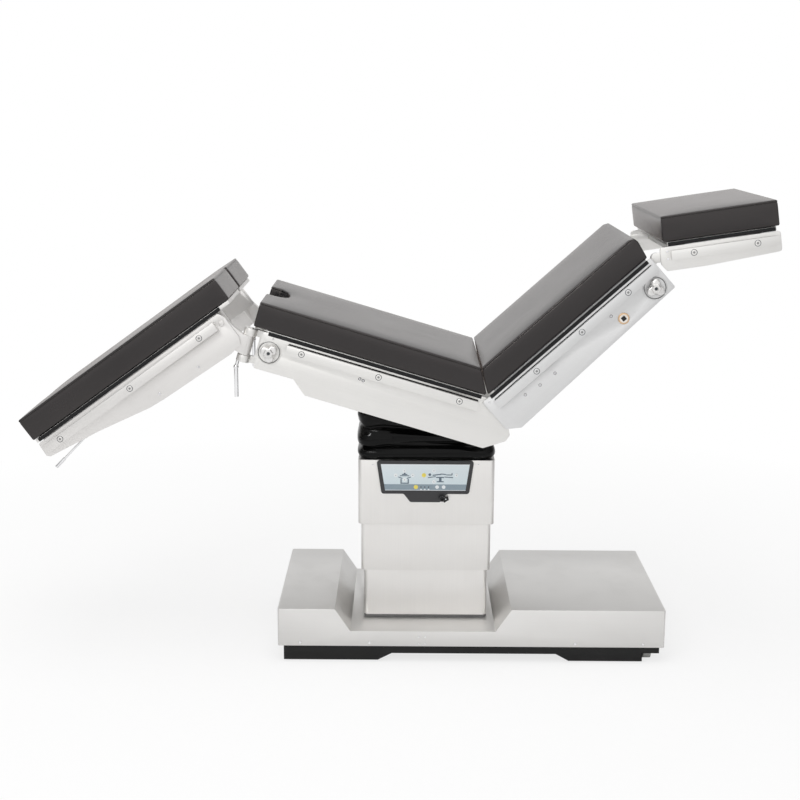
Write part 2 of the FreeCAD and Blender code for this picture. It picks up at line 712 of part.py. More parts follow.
def middle_carrier():
    """Plate that hangs the middle cover on the middle guide tube."""
    half_wide = "(column_wide / 2 - column_step - sheet_wall)"
    half_deep = "(column_deep / 2 - column_step - sheet_wall)"
    half_tube = "(tube_wide / 2 - tube_wall - tube_gap)"
    body = new_body("middle_carrier")
    sketch = sketch_on(body, "XY_Plane", "middle_top - carrier_thick - 2")
    rectangle(sketch, f"-{half_wide}", half_wide, f"-{half_deep}", half_deep)
    block = pad(body, sketch, "carrier_thick")
    round_edges(body, block, along_z, "column_round - sheet_wall")
    hole = sketch_on(body, "XY_Plane", "middle_top")
    rectangle(hole, f"-{half_tube}", half_tube, f"-{half_tube}", half_tube)
    space = pocket(body, hole, "10 * carrier_thick")
    round_edges(body, space, corner_edges(space, min), "tube_wall + 1")
    return node(body, "middle_carrier")


def lift_cylinder():
    """Barrel with a floor and a gland, turned about the column axis."""
    body = new_body("lift_barrel")
    low = "deck_bottom + deck_thick"
    sketch = sketch_on(body, "XZ_Plane")
    outline(sketch, [("0", low), ("barrel_radius", low), ("barrel_radius", "barrel_top"),
                     ("rod_radius + run_gap", "barrel_top"),
                     ("rod_radius + run_gap", "barrel_top - gland_thick"),
                     ("barrel_bore", "barrel_top - gland_thick"),
                     ("barrel_bore", f"{low} + barrel_floor"), ("0", f"{low} + barrel_floor")])
    revolve(body, sketch)
    return node(body, "lift_barrel")


def lift_rod():
    """Rod and piston in one, up to the column head."""
    body = new_body("lift_rod")
    sketch = sketch_on(body, "XZ_Plane")
    outline(sketch, [("0", "piston_bottom"), ("barrel_bore - run_gap", "piston_bottom"),
                     ("barrel_bore - run_gap", "piston_bottom + piston_thick"),
                     ("rod_radius", "piston_bottom + piston_thick"),
                     ("rod_radius", "column_top - head_plate"), ("0", "column_top - head_plate")])
    revolve(body, sketch)
    return node(body, "lift_rod")


def column_head():
    """Head plate with two lugs for the side-tilt shaft."""
    body = new_body("column_head")
    half_wide = "(column_wide / 2 - sheet_wall)"
    half_deep = "(column_deep / 2 - sheet_wall)"
    sketch = sketch_on(body, "XY_Plane", "column_top - head_plate")
    rectangle(sketch, f"-{half_wide}", half_wide, f"-{half_deep}", half_deep)
    block = pad(body, sketch, "head_plate")
    round_edges(body, block, along_z, "column_round - sheet_wall")
    tab = sketch_on(body, "YZ_Plane")
    outline(tab, [("-lug_half", "column_top - 1"), ("lug_half", "column_top - 1"),
                  ("lug_half", f"{GIMBAL} + 6"), ("lug_half * 0.4", f"{GIMBAL} + lug_half"),
                  ("-lug_half * 0.4", f"{GIMBAL} + lug_half"), ("-lug_half", f"{GIMBAL} + 6")])
    pad(body, tab, "2 * (lug_start + lug_thick)", middle=True)
    slot = sketch_on(body, "YZ_Plane")
    rectangle(slot, "-2 * lug_half", "2 * lug_half", "column_top", f"{GIMBAL} + 2 * lug_half")
    pocket(body, slot, "2 * lug_start", middle=True)
    bore = sketch_on(body, "YZ_Plane")
    circle(bore, "0", GIMBAL, "shaft_radius + run_gap")
    pocket(body, bore, "4 * lug_start", middle=True)
    return node(body, "column_head")


def tilt_cross():
    """Block with two crossing shafts: one for the side tilt, one for the long tilt."""
    reach = "(lug_start + lug_thick + 2)"
    block = box("cross_block", ("-cross_half", "-cross_half", f"{GIMBAL} - cross_half * 0.8"),
                ("cross_half", "cross_half", f"{GIMBAL} + cross_half * 0.8"))
    long_shaft = rod("cross_long", "x", (f"-{reach}", "0", GIMBAL), "shaft_radius", f"2 * {reach}")
    side_shaft = rod("cross_side", "y", ("0", f"-{reach}", GIMBAL), "shaft_radius", f"2 * {reach}")
    return node(fuse("cross", [block, long_shaft, side_shaft]), "tilt_cross")


# Control panel

PANEL_BOTTOM = "(column_top - panel_high)"


def panel_frame():
    """Black keypad frame with a lip below it, on the front of the upper cover."""
    body = new_body("panel_frame")
    sketch = sketch_on(body, "XZ_Plane", "column_deep / 2")
    lip_bottom = f"{PANEL_BOTTOM} - panel_lip_high"
    outline(sketch, [("-panel_top_left", "column_top"), ("-panel_low_left", PANEL_BOTTOM),
                     ("-panel_lip_left", PANEL_BOTTOM),
                     ("-panel_lip_left + panel_lip_slope", lip_bottom),
                     ("panel_lip_right - panel_lip_slope", lip_bottom),
                     ("panel_lip_right", PANEL_BOTTOM), ("panel_low_right", PANEL_BOTTOM),
                     ("panel_top_right", "column_top")])
    block = pad(body, sketch, "panel_thick")
    round_edges(body, block, along_y, "panel_round")
    seat = sketch_on(body, "XZ_Plane", "column_deep / 2 + panel_thick")
    membrane_outline(seat)
    pocket(body, seat, "membrane_thick + 0.4")
    return node(body, "panel_frame")


def membrane_outline(sketch):
    """The keypad's own outline, a steady edge inside the frame."""
    outline(sketch, [("-panel_top_left + panel_edge + 2", "column_top - panel_edge"),
                     ("-panel_low_left + panel_edge", f"{PANEL_BOTTOM} + panel_edge"),
                     ("panel_low_right - panel_edge", f"{PANEL_BOTTOM} + panel_edge"),
                     ("panel_top_right - panel_edge - 2", "column_top - panel_edge")])


def panel_membrane():
    """Printed keypad membrane in the frame's recess."""
    body = new_body("panel_membrane")
    sketch = sketch_on(body, "XZ_Plane", "column_deep / 2 + panel_thick - membrane_thick - 0.4")
    membrane_outline(sketch)
    pad(body, sketch, "membrane_thick")
    return node(body, "panel_membrane")


# Each key's place: from the column axis, and below the panel's top
KEYS = [(-61, 29), (-85, 42), (-38, 41.5), (-61, 54.5), (21, 28), (83, 41), (21, 60), (-7, 41),
        (-29, 75), (30, 75), (48, 75)]


def panel_keys():
    """Domes of the round keys, each on its own place of the membrane."""
    face = "-column_deep / 2 - panel_thick + 0.4 - key_high"
    keys = [rod(f"key_{number}", "y", (str(x), face, f"column_top - {drop}"), "key_radius", "key_high")
            for number, (x, drop) in enumerate(KEYS, start=1)]
    return node(group("keys", keys), "panel_keys")


def handset_socket():
    """Round cable socket at the panel's lip."""
    face = "-column_deep / 2 - panel_thick - socket_long"
    height = f"{PANEL_BOTTOM} - socket_drop"
    outer = rod("socket_outer", "y", ("socket_x", face, height), "socket_radius", "socket_long")
    bore = rod("socket_hole", "y", ("socket_x", f"{face} - 1", height), "socket_bore", "socket_long - 1")
    return node(cut("socket", outer, bore), "handset_socket")


# Bellows

def bellows_ring(low_points, high_points):
    """A wall between two closed outlines, solid all round."""
    return Part.makeLoft([Part.makePolygon(low_points), Part.makePolygon(high_points)], True, True)


def ring_points(half_long, half_deep, place):
    corners = [(-1, -1), (1, -1), (1, 1), (-1, 1), (-1, -1)]
    return [place(FreeCAD.Vector(x * half_long, y * half_deep, 0)) for x, y in corners]


def bellows():
    """Rubber bellows in two parts that meet at the tilt cross, each open inside."""
    wall = size("bellows_wall")
    long_half = size("bellows_half_long")
    deep_half = size("bellows_half_deep")

    def at_column(point):
        return point + FreeCAD.Vector(0, 0, size("column_top"))

    def at_split(point):
        return point + FreeCAD.Vector(0, 0, gimbal_height + size("bellows_split"))

    def at_seat(point):
        return seat_place.multVec(point + FreeCAD.Vector(0, 0, size("bracket_height")))

    for name, low, high in (("bellows_lower", at_column, at_split), ("bellows_upper", at_split, at_seat)):
        outer = bellows_ring(ring_points(long_half, deep_half, low), ring_points(long_half, deep_half, high))
        inner = bellows_ring(ring_points(long_half - wall, deep_half - wall, low),
                             ring_points(long_half - wall, deep_half - wall, high))
        thing = doc.addObject("Part::Feature", name)
        thing.Shape = outer.cut(inner)
        node(thing, name)


# Side plates, rails and cushions

def side_plate(name, corners, inner, holes=(), radius="10"):
    """Front side plate: an outline in the section's own plane, with its holes."""
    body = new_body(name)
    sketch = sketch_on(body, "XZ_Plane", inner)
    outline(sketch, corners)
    block = pad(body, sketch, "plate_thick")
    round_edges(body, block, along_y, radius)
    for x, z, hole in holes:
        bore = sketch_on(body, "XZ_Plane", f"{inner} + plate_thick")
        circle(bore, x, z, hole)
        pocket(body, bore, "2 * plate_thick")
    return body


def rail_bar(name, start, end, centre, face):
    """A steel bar of the standard rail section."""
    return box(name, (start, f"-({face}) - rail_thick", f"{centre} - rail_high / 2"),
               (end, f"-({face})", f"{centre} + rail_high / 2"))


def rail_face():
    return "plate_inner + plate_thick + rail_stand"


def spacers(name, places, centre, outer):
    """Round spacers between a side plate and its rail."""
    return [rod(f"{name}_{number}", "y", (x, f"-({rail_face()})", centre), "spacer_radius",
                f"({rail_face()}) - ({outer})") for number, x in enumerate(places, start=1)]


def cushion(name, corners, inner="-cushion_half", outer="cushion_half"):
    """A plain padded slab: an outline in the section's plane, as wide as the cushion."""
    body = new_body(name)
    sketch = sketch_on(body, "XZ_Plane", f"-({outer})")
    outline(sketch, corners)
    block = pad(body, sketch, f"({outer}) - ({inner})")
    return body, block


def seat_section():
    place = seat_place
    low = "seat_cushion_bottom"
    high = "(seat_cushion_bottom + cushion_thick)"
    bevel = "tan(back_rise / 2 * 1deg)"
    start = "seat_cushion_start"
    body, block = cushion("seat_cushion", [
        (start, low), (start, high),
        (f"back_hinge_x - ({high} - back_hinge_z) * {bevel} - 0.5", high),
        (f"back_hinge_x - ({low} - back_hinge_z) * {bevel} - 0.5", low)])
    round_edges(body, block, along_y, "cushion_round")
    notch = sketch_on(body, "XY_Plane", f"{high} + 1")
    outline(notch, [(f"{start} - 10", "-notch_half"), (f"{start} + notch_deep * 0.5", "-notch_half"),
                    (f"{start} + notch_deep * 0.85", "-notch_half * 0.7"),
                    (f"{start} + notch_deep", "-notch_half * 0.3"),
                    (f"{start} + notch_deep", "notch_half * 0.3"),
                    (f"{start} + notch_deep * 0.85", "notch_half * 0.7"),
                    (f"{start} + notch_deep * 0.5", "notch_half"), (f"{start} - 10", "notch_half")])
    pocket(body, notch, "cushion_thick + 2")
    node(body, "seat_cushion", place)

    top = f"{low} - 4"
    plate = side_plate("seat_plate", [
        ("seat_plate_start", top), ("seat_plate_start", "seat_plate_step - 1"),
        ("seat_plate_start + 112", "seat_plate_step"), ("seat_plate_start + 153", "seat_plate_low"),
        ("seat_plate_end - 60", "seat_plate_low"), ("seat_plate_end - 6", "seat_plate_low + 36"),
        ("seat_plate_end", "seat_plate_low + 56"), ("seat_plate_end - 32", "seat_plate_low + 112"),
        ("back_hinge_x + 14", "back_hinge_z - 2"), ("back_hinge_x", top)],
        "plate_inner", [("back_hinge_x", "back_hinge_z", "hinge_radius + run_gap"),
                        ("seat_knob_x", "seat_knob_z", "knob_screw + run_gap")], "6")
    node(both_sides("seat_plates", plate), "seat_side_plates", place)

    centre = f"({low} - rail_drop)"
    bar = rail_bar("seat_rail", "seat_rail_start", "seat_rail_end", centre, rail_face())
    pins = spacers("seat_spacer", ["seat_rail_start + 30", "(seat_rail_start + seat_rail_end) / 2",
                                   "seat_rail_end - 20"], centre, "plate_inner + plate_thick")
    node(both_sides("seat_rail_pair", fuse("seat_rail_set", [bar] + pins)), "seat_rails", place)
    seat_frame()


def seat_frame():
    """Cross beams, tilt bracket, board and the lugs that hold the leg swivels."""
    half = "plate_inner"
    board_low = "seat_cushion_bottom - board_thick"
    hip_end = "hip_beam_start + beam_wide"
    pieces = [
        box("seat_board", ("hip_beam_start", "-board_half", board_low),
            ("back_hinge_x - 22", "board_half", "seat_cushion_bottom")),
        box("hip_beam", ("hip_beam_start", f"-{half}", "beam_bottom - 8"), (hip_end, half, board_low)),
        box("bracket_plate", ("-bellows_half_long + 4", "-bellows_half_deep + 4", "bracket_height"),
            ("bellows_half_long - 4", "bellows_half_deep - 4", "beam_bottom"))]
    for name, x in (("tail", "-170"), ("waist", "60")):
        pieces.append(box(f"{name}_beam", (x, f"-{half}", "beam_bottom"),
                          (f"{x} + beam_wide", half, board_low)))
    for name, side in (("front", "-"), ("rear", "")):
        low_y = f"{side}(lug_start + lug_thick * {1 if side else 0})"
        pieces.append(box(f"cheek_{name}", ("-lug_half", low_y, "0"),
                          ("lug_half", f"{low_y} + lug_thick", "bracket_height + 1")))
        pieces.append(rod(f"cheek_eye_{name}", "y", ("0", low_y, "0"), "lug_half", "lug_thick"))
    pieces += swivel_lugs()
    solid = fuse("seat_frame_solid", pieces)
    holes = [rod("cheek_bore", "y", ("0", "-plate_inner", "0"), "shaft_radius + run_gap", "2 * plate_inner"),
             rod("hip_knob_bore", "y", ("seat_knob_x", "-plate_inner - 1", "seat_knob_z"),
                 "knob_screw + run_gap", "2 * plate_inner + 2")]
    for name, side in (("front", "-"), ("rear", "")):
        holes.append(rod(f"swivel_bore_{name}", "z", ("swivel_x", f"{side}swivel_side", "swivel_bottom - 30"),
                         "swivel_pin + run_gap", "swivel_top - swivel_bottom + 60"))
    return node(cut("seat_frame_cut", solid, fuse("seat_frame_holes", holes)), "seat_frame", seat_place)


def swivel_lugs():
    """Upper and lower lug around each swivel axis, and the web behind them."""
    pieces = []
    web_start = "hip_beam_start - 16"
    for name, side in (("front", -1), ("rear", 1)):
        near = f"swivel_side * {side}"
        inner = [f"{near} + {-side} * neck_start", f"{near} + {-side} * neck_end"]
        low_y, high_y = inner if side < 0 else inner[::-1]
        for level, bottom in (("lower", "swivel_bottom - 0.3 - swivel_lug_thick"),
                              ("upper", "swivel_top + 0.3")):
            pieces.append(rod(f"swivel_lug_{level}_{name}", "z", ("swivel_x", near, bottom),
                              "swivel_lug", "swivel_lug_thick"))
            pieces.append(box(f"swivel_neck_{level}_{name}", ("swivel_x", low_y, bottom),
                              ("hip_beam_start + 1", high_y, f"{bottom} + swivel_lug_thick")))
        pieces.append(box(f"swivel_web_{name}", (web_start, low_y, "swivel_bottom - swivel_lug_thick - 0.3"),
                          ("hip_beam_start + 1", high_y, "swivel_top + 0.3 + swivel_lug_thick")))
    return pieces


def back_section():
    place = back_place
    low = "back_cushion_lift"
    high = "(back_cushion_lift + cushion_thick)"
    bevel = "tan(back_rise / 2 * 1deg)"
    body, block = cushion("back_cushion", [
        (f"{low} * {bevel} + 0.5", low), (f"{high} * {bevel} + 0.5", high),
        ("back_cushion_end - 8", high), ("back_cushion_end + back_bulge - 3", f"{high} - 7"),
        ("back_cushion_end + back_bulge", f"{high} - 20"), ("back_cushion_end", low)])
    round_edges(body, block, along_y, "cushion_round")
    node(body, "back_cushion", place)

    outer = "plate_inner + plate_thick + side_gap"
    plate = side_plate("back_plate", [
        ("-14", f"{low} - 2"), ("-14", "-back_plate_deep + 24"), ("20", "-back_plate_deep"),
        ("back_plate_end", "-back_plate_low"), ("back_plate_end", f"{low} - 2")],
        outer, [("back_knob_x", "back_knob_z", "knob_screw + run_gap"),
                ("crank_x", "crank_z", "crank_radius + run_gap")], "5")
    pin = sketch_on(plate, "XZ_Plane", f"{outer} + plate_thick")
    circle(pin, "0", "0", "hinge_radius")
    pad(plate, pin, "2 * plate_thick + side_gap + 3").Reversed = True
    node(both_sides("back_plates", plate), "back_side_plates", place)

    centre = f"({low} - rail_drop)"
    bar = rail_bar("back_rail", "back_rail_start", "back_rail_end", centre, rail_face())
    pins = spacers("back_spacer", ["back_rail_start + 140", "back_rail_start + 298", "back_rail_end - 97"],
                   centre, f"{outer} + plate_thick")
    node(both_sides("back_rail_pair", fuse("back_rail_set", [bar] + pins)), "back_rails", place)
    back_frame(outer)


def back_frame(plate_face):
    """Board, two cross beams, knob blocks and the lugs of the head hinge."""
    board_low = "back_cushion_lift - board_thick"
    lug_face = "plate_inner - plate_thick - 1"
    pieces = [box("back_board", ("30", "-board_half", board_low),
                  ("back_cushion_end - 8", "board_half", "back_cushion_lift"))]
    for name, x in (("low", "back_beam_start"), ("high", "back_beam_end")):
        pieces.append(box(f"back_beam_{name}", (x, f"-({plate_face})", f"{board_low} - back_beam_high"),
                          (f"{x} + beam_wide", plate_face, board_low)))
    for name, side in (("front", -1), ("rear", 1)):
        face = f"{side} * (plate_inner + plate_thick + side_gap)"
        inward = f"{face} - {side} * 30"
        low_y, high_y = (face, inward) if side < 0 else (inward, face)
        pieces.append(box(f"knob_block_{name}", ("back_knob_x - 36", low_y, "back_knob_z - 14"),
                          ("back_knob_x + 6", high_y, f"{board_low} - back_beam_high + 1")))
        lug_outer = f"{side} * ({lug_face})"
        lug_inner = f"{lug_outer} - {side} * 10"
        low_y, high_y = (lug_outer, lug_inner) if side < 0 else (lug_inner, lug_outer)
        pieces.append(box(f"head_arm_{name}", ("back_beam_end + 10", low_y, "head_hinge_z - head_lug"),
                          ("head_hinge_x", high_y, f"{board_low} + 1")))
        pieces.append(rod(f"head_eye_{name}", "y", ("head_hinge_x", low_y, "head_hinge_z"), "head_lug", "10"))
    solid = fuse("back_frame_solid", pieces)
    holes = [rod("knob_bore", "y", ("back_knob_x", f"-({plate_face}) - 1", "back_knob_z"),
                 "knob_screw + run_gap", f"2 * ({plate_face}) + 2"),
             rod("head_bore", "y", ("head_hinge_x", "-plate_inner", "head_hinge_z"), "head_pin + run_gap",
                 "2 * plate_inner")]
    return node(cut("back_frame_cut", solid, fuse("back_frame_holes", holes)), "back_frame", back_place)


def crank_socket():
    """Copper-ringed bush with a square hole for the crank, in the front side plate."""
    face = "(plate_inner + plate_thick + side_gap + plate_thick)"
    disc = rod("crank_disc", "y", ("crank_x", f"-{face} - 1.5", "crank_z"), "crank_radius",
               "plate_thick + 20")
    square = box("crank_hole", ("crank_x - crank_square / 2", f"-{face} - 2", "crank_z - crank_square / 2"),
                 ("crank_x + crank_square / 2", f"-{face} + 16", "crank_z + crank_square / 2"))
    return node(cut("crank", disc, square), "crank_socket", back_place)


def head_section():
    place = head_place
    low = "head_cushion_lift"
    high = "(head_cushion_lift + cushion_thick)"
    body, block = cushion("head_cushion", [("head_cushion_start", low), ("head_cushion_start", high),
                                           ("head_cushion_end", high), ("head_cushion_end", low)])
    round_edges(body, block, along_y, "cushion_round")
    node(body, "head_cushion", place)

    plate = side_plate("head_plate", [
        ("head_plate_start", "head_plate_high"), ("head_plate_start", "-head_plate_low + 20"),
        ("head_plate_start + 14", "-head_plate_low"), ("head_plate_start + 120", "-head_plate_low"),
        ("head_plate_end", "-head_plate_low + 10"), ("head_plate_end", "head_plate_high")],
        "plate_inner", [], "8")
    lug_inner = "(plate_inner - plate_thick)"
    lug = box("head_lug_arm", ("0", "-plate_inner", "-head_lug"), ("90", f"-{lug_inner}", "head_lug"))
    eye = rod("head_lug_eye", "y", ("0", "-plate_inner", "0"), "head_lug", "plate_thick")
    pin = rod("head_hinge_pin", "y", ("0", "-plate_inner", "0"), "head_pin", "plate_thick + 12")
    side = fuse("head_side", [plate, lug, eye, pin])
    rail = "(head_cushion_lift - rail_drop - 3)"
    beam_low = "head_plate_high - 30"
    pieces = [side, mirrored(side),
              box("head_board", ("head_cushion_start + 12", "-board_half", "head_cushion_lift - board_thick"),
                  ("head_cushion_end - 10", "board_half", "head_cushion_lift"))]
    for name, x in (("low", "60"), ("high", "260")):
        pieces.append(box(f"head_beam_{name}", (x, "-plate_inner", beam_low),
                          (f"{x} + beam_wide / 2", "plate_inner", "head_cushion_lift - board_thick")))
    node(fuse("head_frame_solid", pieces), "head_frame", place)

    bar = rail_bar("head_rail", "head_rail_start", "head_rail_end", rail, rail_face())
    pins = spacers("head_spacer", ["head_rail_start + 60", "head_rail_end - 60"], rail,
                   "plate_inner + plate_thick")
    node(both_sides("head_rail_pair", fuse("head_rail_set", [bar] + pins)), "head_rails", place)


# Legs

def turned(thing, side):
    """Front pieces stay as drawn; rear pieces are their mirror image."""
    return thing if side == FRONT else mirrored(thing)


def leg(side, name):
    """One leg section: swivel arm, frame, rail, cushion, release lever and clamp handle."""
    arm = swivel_arm(name)
    node(turned(arm, side), f"leg_swivel_{name}", seat_place)

    low = "leg_cushion_lift"
    high = "(leg_cushion_lift + cushion_thick)"
    body, block = cushion(f"leg_cushion_{name}", [
        ("-leg_cushion_end", low), ("-leg_cushion_end", high), ("leg_cushion_start", high),
        ("leg_cushion_start", low)], "leg_inner", "cushion_half")
    round_edges(body, block, along_y, "cushion_round")
    pad_body = body if side == REAR else mirrored(body)
    node(pad_body, f"leg_cushion_{name}", leg_place)

    plate = side_plate(f"leg_plate_{name}", [
        ("-leg_plate_end + 3", "leg_cushion_lift - board_thick - 3"),
        ("-leg_plate_end", "-12"), ("-leg_plate_end + 9", "-20"), ("-448", "-41"), ("-298", "-70"),
        ("-252", "-74"), ("-28", "-81"), ("8", "-74"), ("17", "-55"), ("17", "10"),
        ("8", "leg_cushion_lift - board_thick - 3")],
        "plate_inner", [("0", "0", "pitch_pin + run_gap")], "6")
    inner_plate = box(f"leg_inner_plate_{name}", ("-leg_plate_end", "-leg_inner_plate - plate_thick", "-20"),
                      ("leg_cushion_start", "-leg_inner_plate", "leg_cushion_lift - board_thick + 1"))
    board = box(f"leg_board_{name}", ("-leg_plate_end", "-board_half - 2", "leg_cushion_lift - board_thick"),
                ("leg_cushion_start - 8", "-leg_inner_plate", "leg_cushion_lift"))
    strip = box(f"leg_strip_{name}", ("-leg_plate_end + 20", "-plate_inner - 1", "leg_cushion_lift - board_thick - 6"),
                ("-40", "-board_half", "leg_cushion_lift - board_thick + 1"))
    ear = box(f"leg_ear_{name}", ("-18", "-arm_inner + 2", "-14"),
              ("18", "-arm_inner + 10", "leg_cushion_lift - board_thick + 1"))
    pin = rod(f"leg_pin_{name}", "y", ("0", "-plate_inner - plate_thick - 3", "0"), "pitch_pin",
              "plate_inner + plate_thick + 3 - arm_inner + 8")
    bars = [box(f"leg_bar_{place}_{name}", (x, "-plate_inner - 1", "leg_cushion_lift - board_thick - leg_beam_high"),
                (f"{x} + leg_beam_high", "-leg_inner_plate", "leg_cushion_lift - board_thick + 1"))
            for place, x in (("foot", "-leg_plate_end + 60"), ("middle", "-300"), ("hip", "-90"))]
    lever_ear = box(f"lever_ear_{name}", ("-lever_x - 8", "-plate_inner - 1", "-lever_z - 6"),
                    ("-lever_x + 8", "-plate_inner + 4", "-lever_z + 10"))
    solid = fuse(f"leg_solid_{name}", [plate, inner_plate, board, strip, ear, pin, lever_ear] + bars)
    node(turned(solid, side), f"leg_frame_{name}", leg_place)

    centre = "(leg_cushion_lift - rail_drop - 6)"
    bar = rail_bar(f"leg_rail_bar_{name}", "-leg_rail_end", "-leg_rail_start", centre, rail_face())
    pins = spacers(f"leg_spacer_{name}", ["-leg_rail_end + 53", "-leg_rail_end + 291", "-leg_rail_start - 54"],
                   centre, "plate_inner + plate_thick")
    node(turned(fuse(f"leg_rail_set_{name}", [bar] + pins), side), f"leg_rail_{name}", leg_place)
    node(turned(release_lever(name), side), f"release_lever_{name}", leg_place)
    node(turned(clamp_handle(name), side), f"clamp_handle_{name}", world)


def swivel_arm(name):
    """Barrel on the swivel pin, with an arm to the pitch hinge."""
    barrel = rod(f"barrel_{name}", "z", ("swivel_x", "-swivel_side", "swivel_bottom"), "swivel_radius",
                 "swivel_top - swivel_bottom")
    pin = rod(f"swivel_pin_{name}", "z", ("swivel_x", "-swivel_side", "swivel_bottom - swivel_lug_thick - 2"),
              "swivel_pin", "swivel_top - swivel_bottom + 2 * swivel_lug_thick + 4")
    body = new_body(f"swivel_arm_{name}")
    sketch = sketch_on(body, "XZ_Plane", "arm_inner")
    outline(sketch, [("swivel_x", "swivel_bottom"), ("swivel_x", "swivel_top"),
                     ("swivel_x - swivel_lug - 2", "swivel_top"),
                     ("pitch_x + pitch_boss * 0.5", "pitch_z + pitch_boss * 0.8"),
                     ("pitch_x - pitch_boss * 0.4", "pitch_z - pitch_boss * 0.85"),
                     ("swivel_x - 34", "swivel_bottom + 8")])
    pad(body, sketch, "arm_outer - arm_inner")
    boss = rod(f"pitch_boss_{name}", "y", ("pitch_x", "-arm_outer", "pitch_z"), "pitch_boss",
               "arm_outer - arm_inner")
    solid = fuse(f"swivel_solid_{name}", [barrel, pin, body, boss], refine=False)
    bore = rod(f"pitch_bore_{name}", "y", ("pitch_x", "-arm_outer - 1", "pitch_z"), "pitch_pin + run_gap",
               "arm_outer - arm_inner + 2")
    return cut(f"swivel_cut_{name}", solid, bore, refine=False)


def release_lever(name):
    """Flat pivot eye, thin rod and thicker grip, close under the leg."""
    side = "(plate_inner - 5.3)"
    eye = rod(f"lever_eye_{name}", "y", ("-lever_x", f"-{side}", "-lever_z"), "5", "6")
    shaft = rod(f"lever_shaft_{name}", "x", ("-lever_x", f"-{side} + 3", "-lever_z"), "lever_rod",
                "lever_long - 30")
    grip = rod(f"lever_grip_{name}", "x", ("-lever_x", f"-{side} + 3", "-lever_z"), "lever_rod + 1.5", "34")
    turn = FreeCAD.Rotation(FreeCAD.Vector(0, 1, 0), 270 - size("lever_dip"))
    for thing in (shaft, grip):
        thing.Placement.Rotation = turn
    reach = "(lever_long - 34)"
    bind(grip, "Placement.Base.x", f"-lever_x - {reach} * cos(lever_dip * 1deg)")
    bind(grip, "Placement.Base.z", f"-lever_z - {reach} * sin(lever_dip * 1deg)")
    return fuse(f"lever_solid_{name}", [eye, shaft, grip], refine=False)


def clamp_handle(name):
    """Threaded link out of the lower lug, a collar and a bar that hangs straight down."""
    lug_bottom = size("swivel_bottom") - size("swivel_lug_thick") - 0.3
    top = seat_place.multVec(FreeCAD.Vector(size("swivel_x") - size("handle_offset"), -size("swivel_side"),
                                            lug_bottom - 0.3))
    down = seat_place.Rotation.multVec(FreeCAD.Vector(0, 0, -1))
    low = top + down * size("handle_link")
    radius = size("handle_rod")
    link = Part.makeCylinder(radius - 1, size("handle_link"), top, down)
    collar = Part.makeSphere(radius + 1.5, low)
    bar = Part.makeCylinder(radius, size("handle_long"), low, FreeCAD.Vector(0, 0, -1))
    thing = doc.addObject("Part::Feature", f"handle_{name}")
    thing.Shape = link.fuse([collar, bar]).removeSplitter()
    return thing


def knob(label, place, x, z, face, side):
    """Three lobes and a hub, seen from the side as a trefoil, with the screw behind."""
    pieces = [rod(f"{label}_hub", "y", (x, f"-({face}) - knob_high - 4", z), "knob_hub", "knob_high + 4"),
              rod(f"{label}_screw", "y", (x, f"-({face}) - 1", z), "knob_screw", "26")]
    for turn in range(3):
        angle = f"({120 * turn} + 20) * 1deg"
        pieces.append(rod(f"{label}_lobe_{turn}", "y",
                          (f"{x} + (knob_radius - 12) * cos({angle})", f"-({face}) - knob_high",
                           f"{z} + (knob_radius - 12) * sin({angle})"), "12", "knob_high - 6"))
    solid = fuse(f"{label}_solid", pieces)
    return node(turned(solid, side), label, place)


def knobs():
    seat_face = "plate_inner + plate_thick + 0.3"
    back_face = "plate_inner + 2 * plate_thick + side_gap + 0.3"
    for side, name in ((FRONT, "front"), (REAR, "rear")):
        knob(f"seat_knob_{name}", seat_place, "seat_knob_x", "seat_knob_z", seat_face, side)
        knob(f"back_knob_{name}", back_place, "back_knob_x", "back_knob_z", back_face, side)


# Build

base_cover()
base_frame()
feet()
caster_sleeves()
for spot, _, _ in caster_spots():
    caster_fork(spot)
    caster_wheel(spot)
power_unit()
battery_pack()
column_covers()
column_gasket()
guide_tubes()
middle_carrier()
lift_cylinder()
lift_rod()
column_head()
tilt_cross()
panel_frame()
panel_membrane()
panel_keys()
handset_socket()
bellows()
seat_section()
back_section()
crank_socket()
head_section()
leg(FRONT, "front")
leg(REAR, "rear")
knobs()
doc.recompute()

for thing in doc.Objects:
    if "Invalid" in thing.State or "Error" in thing.State:
        raise RuntimeError(f"{thing.Name}: {thing.State} {thing.getStatusString()}")
os.makedirs("parts", exist_ok=True)
faulty = [thing.Label for thing in nodes if thing.Shape.isNull() or not thing.Shape.isValid()]
if faulty:
    raise RuntimeError(f"no valid shape: {faulty}")
for thing in nodes:
    thing.Shape.exportStep(f"parts/{thing.Label}.step")
print(len(nodes), "pieces")
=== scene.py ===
# %% [markdown]
# # An operating table in its beach-chair pose
# This lesson dresses an electric operating table: a folded stainless base, a telescopic column
# with a keypad, rubber bellows and five black cushions on hinged steel sections. The solid parts
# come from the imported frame, so every piece below is made where those parts already stand.

# %% Load the frame
import bpy
import bmesh
import math
import json
from mathutils import Matrix, Vector


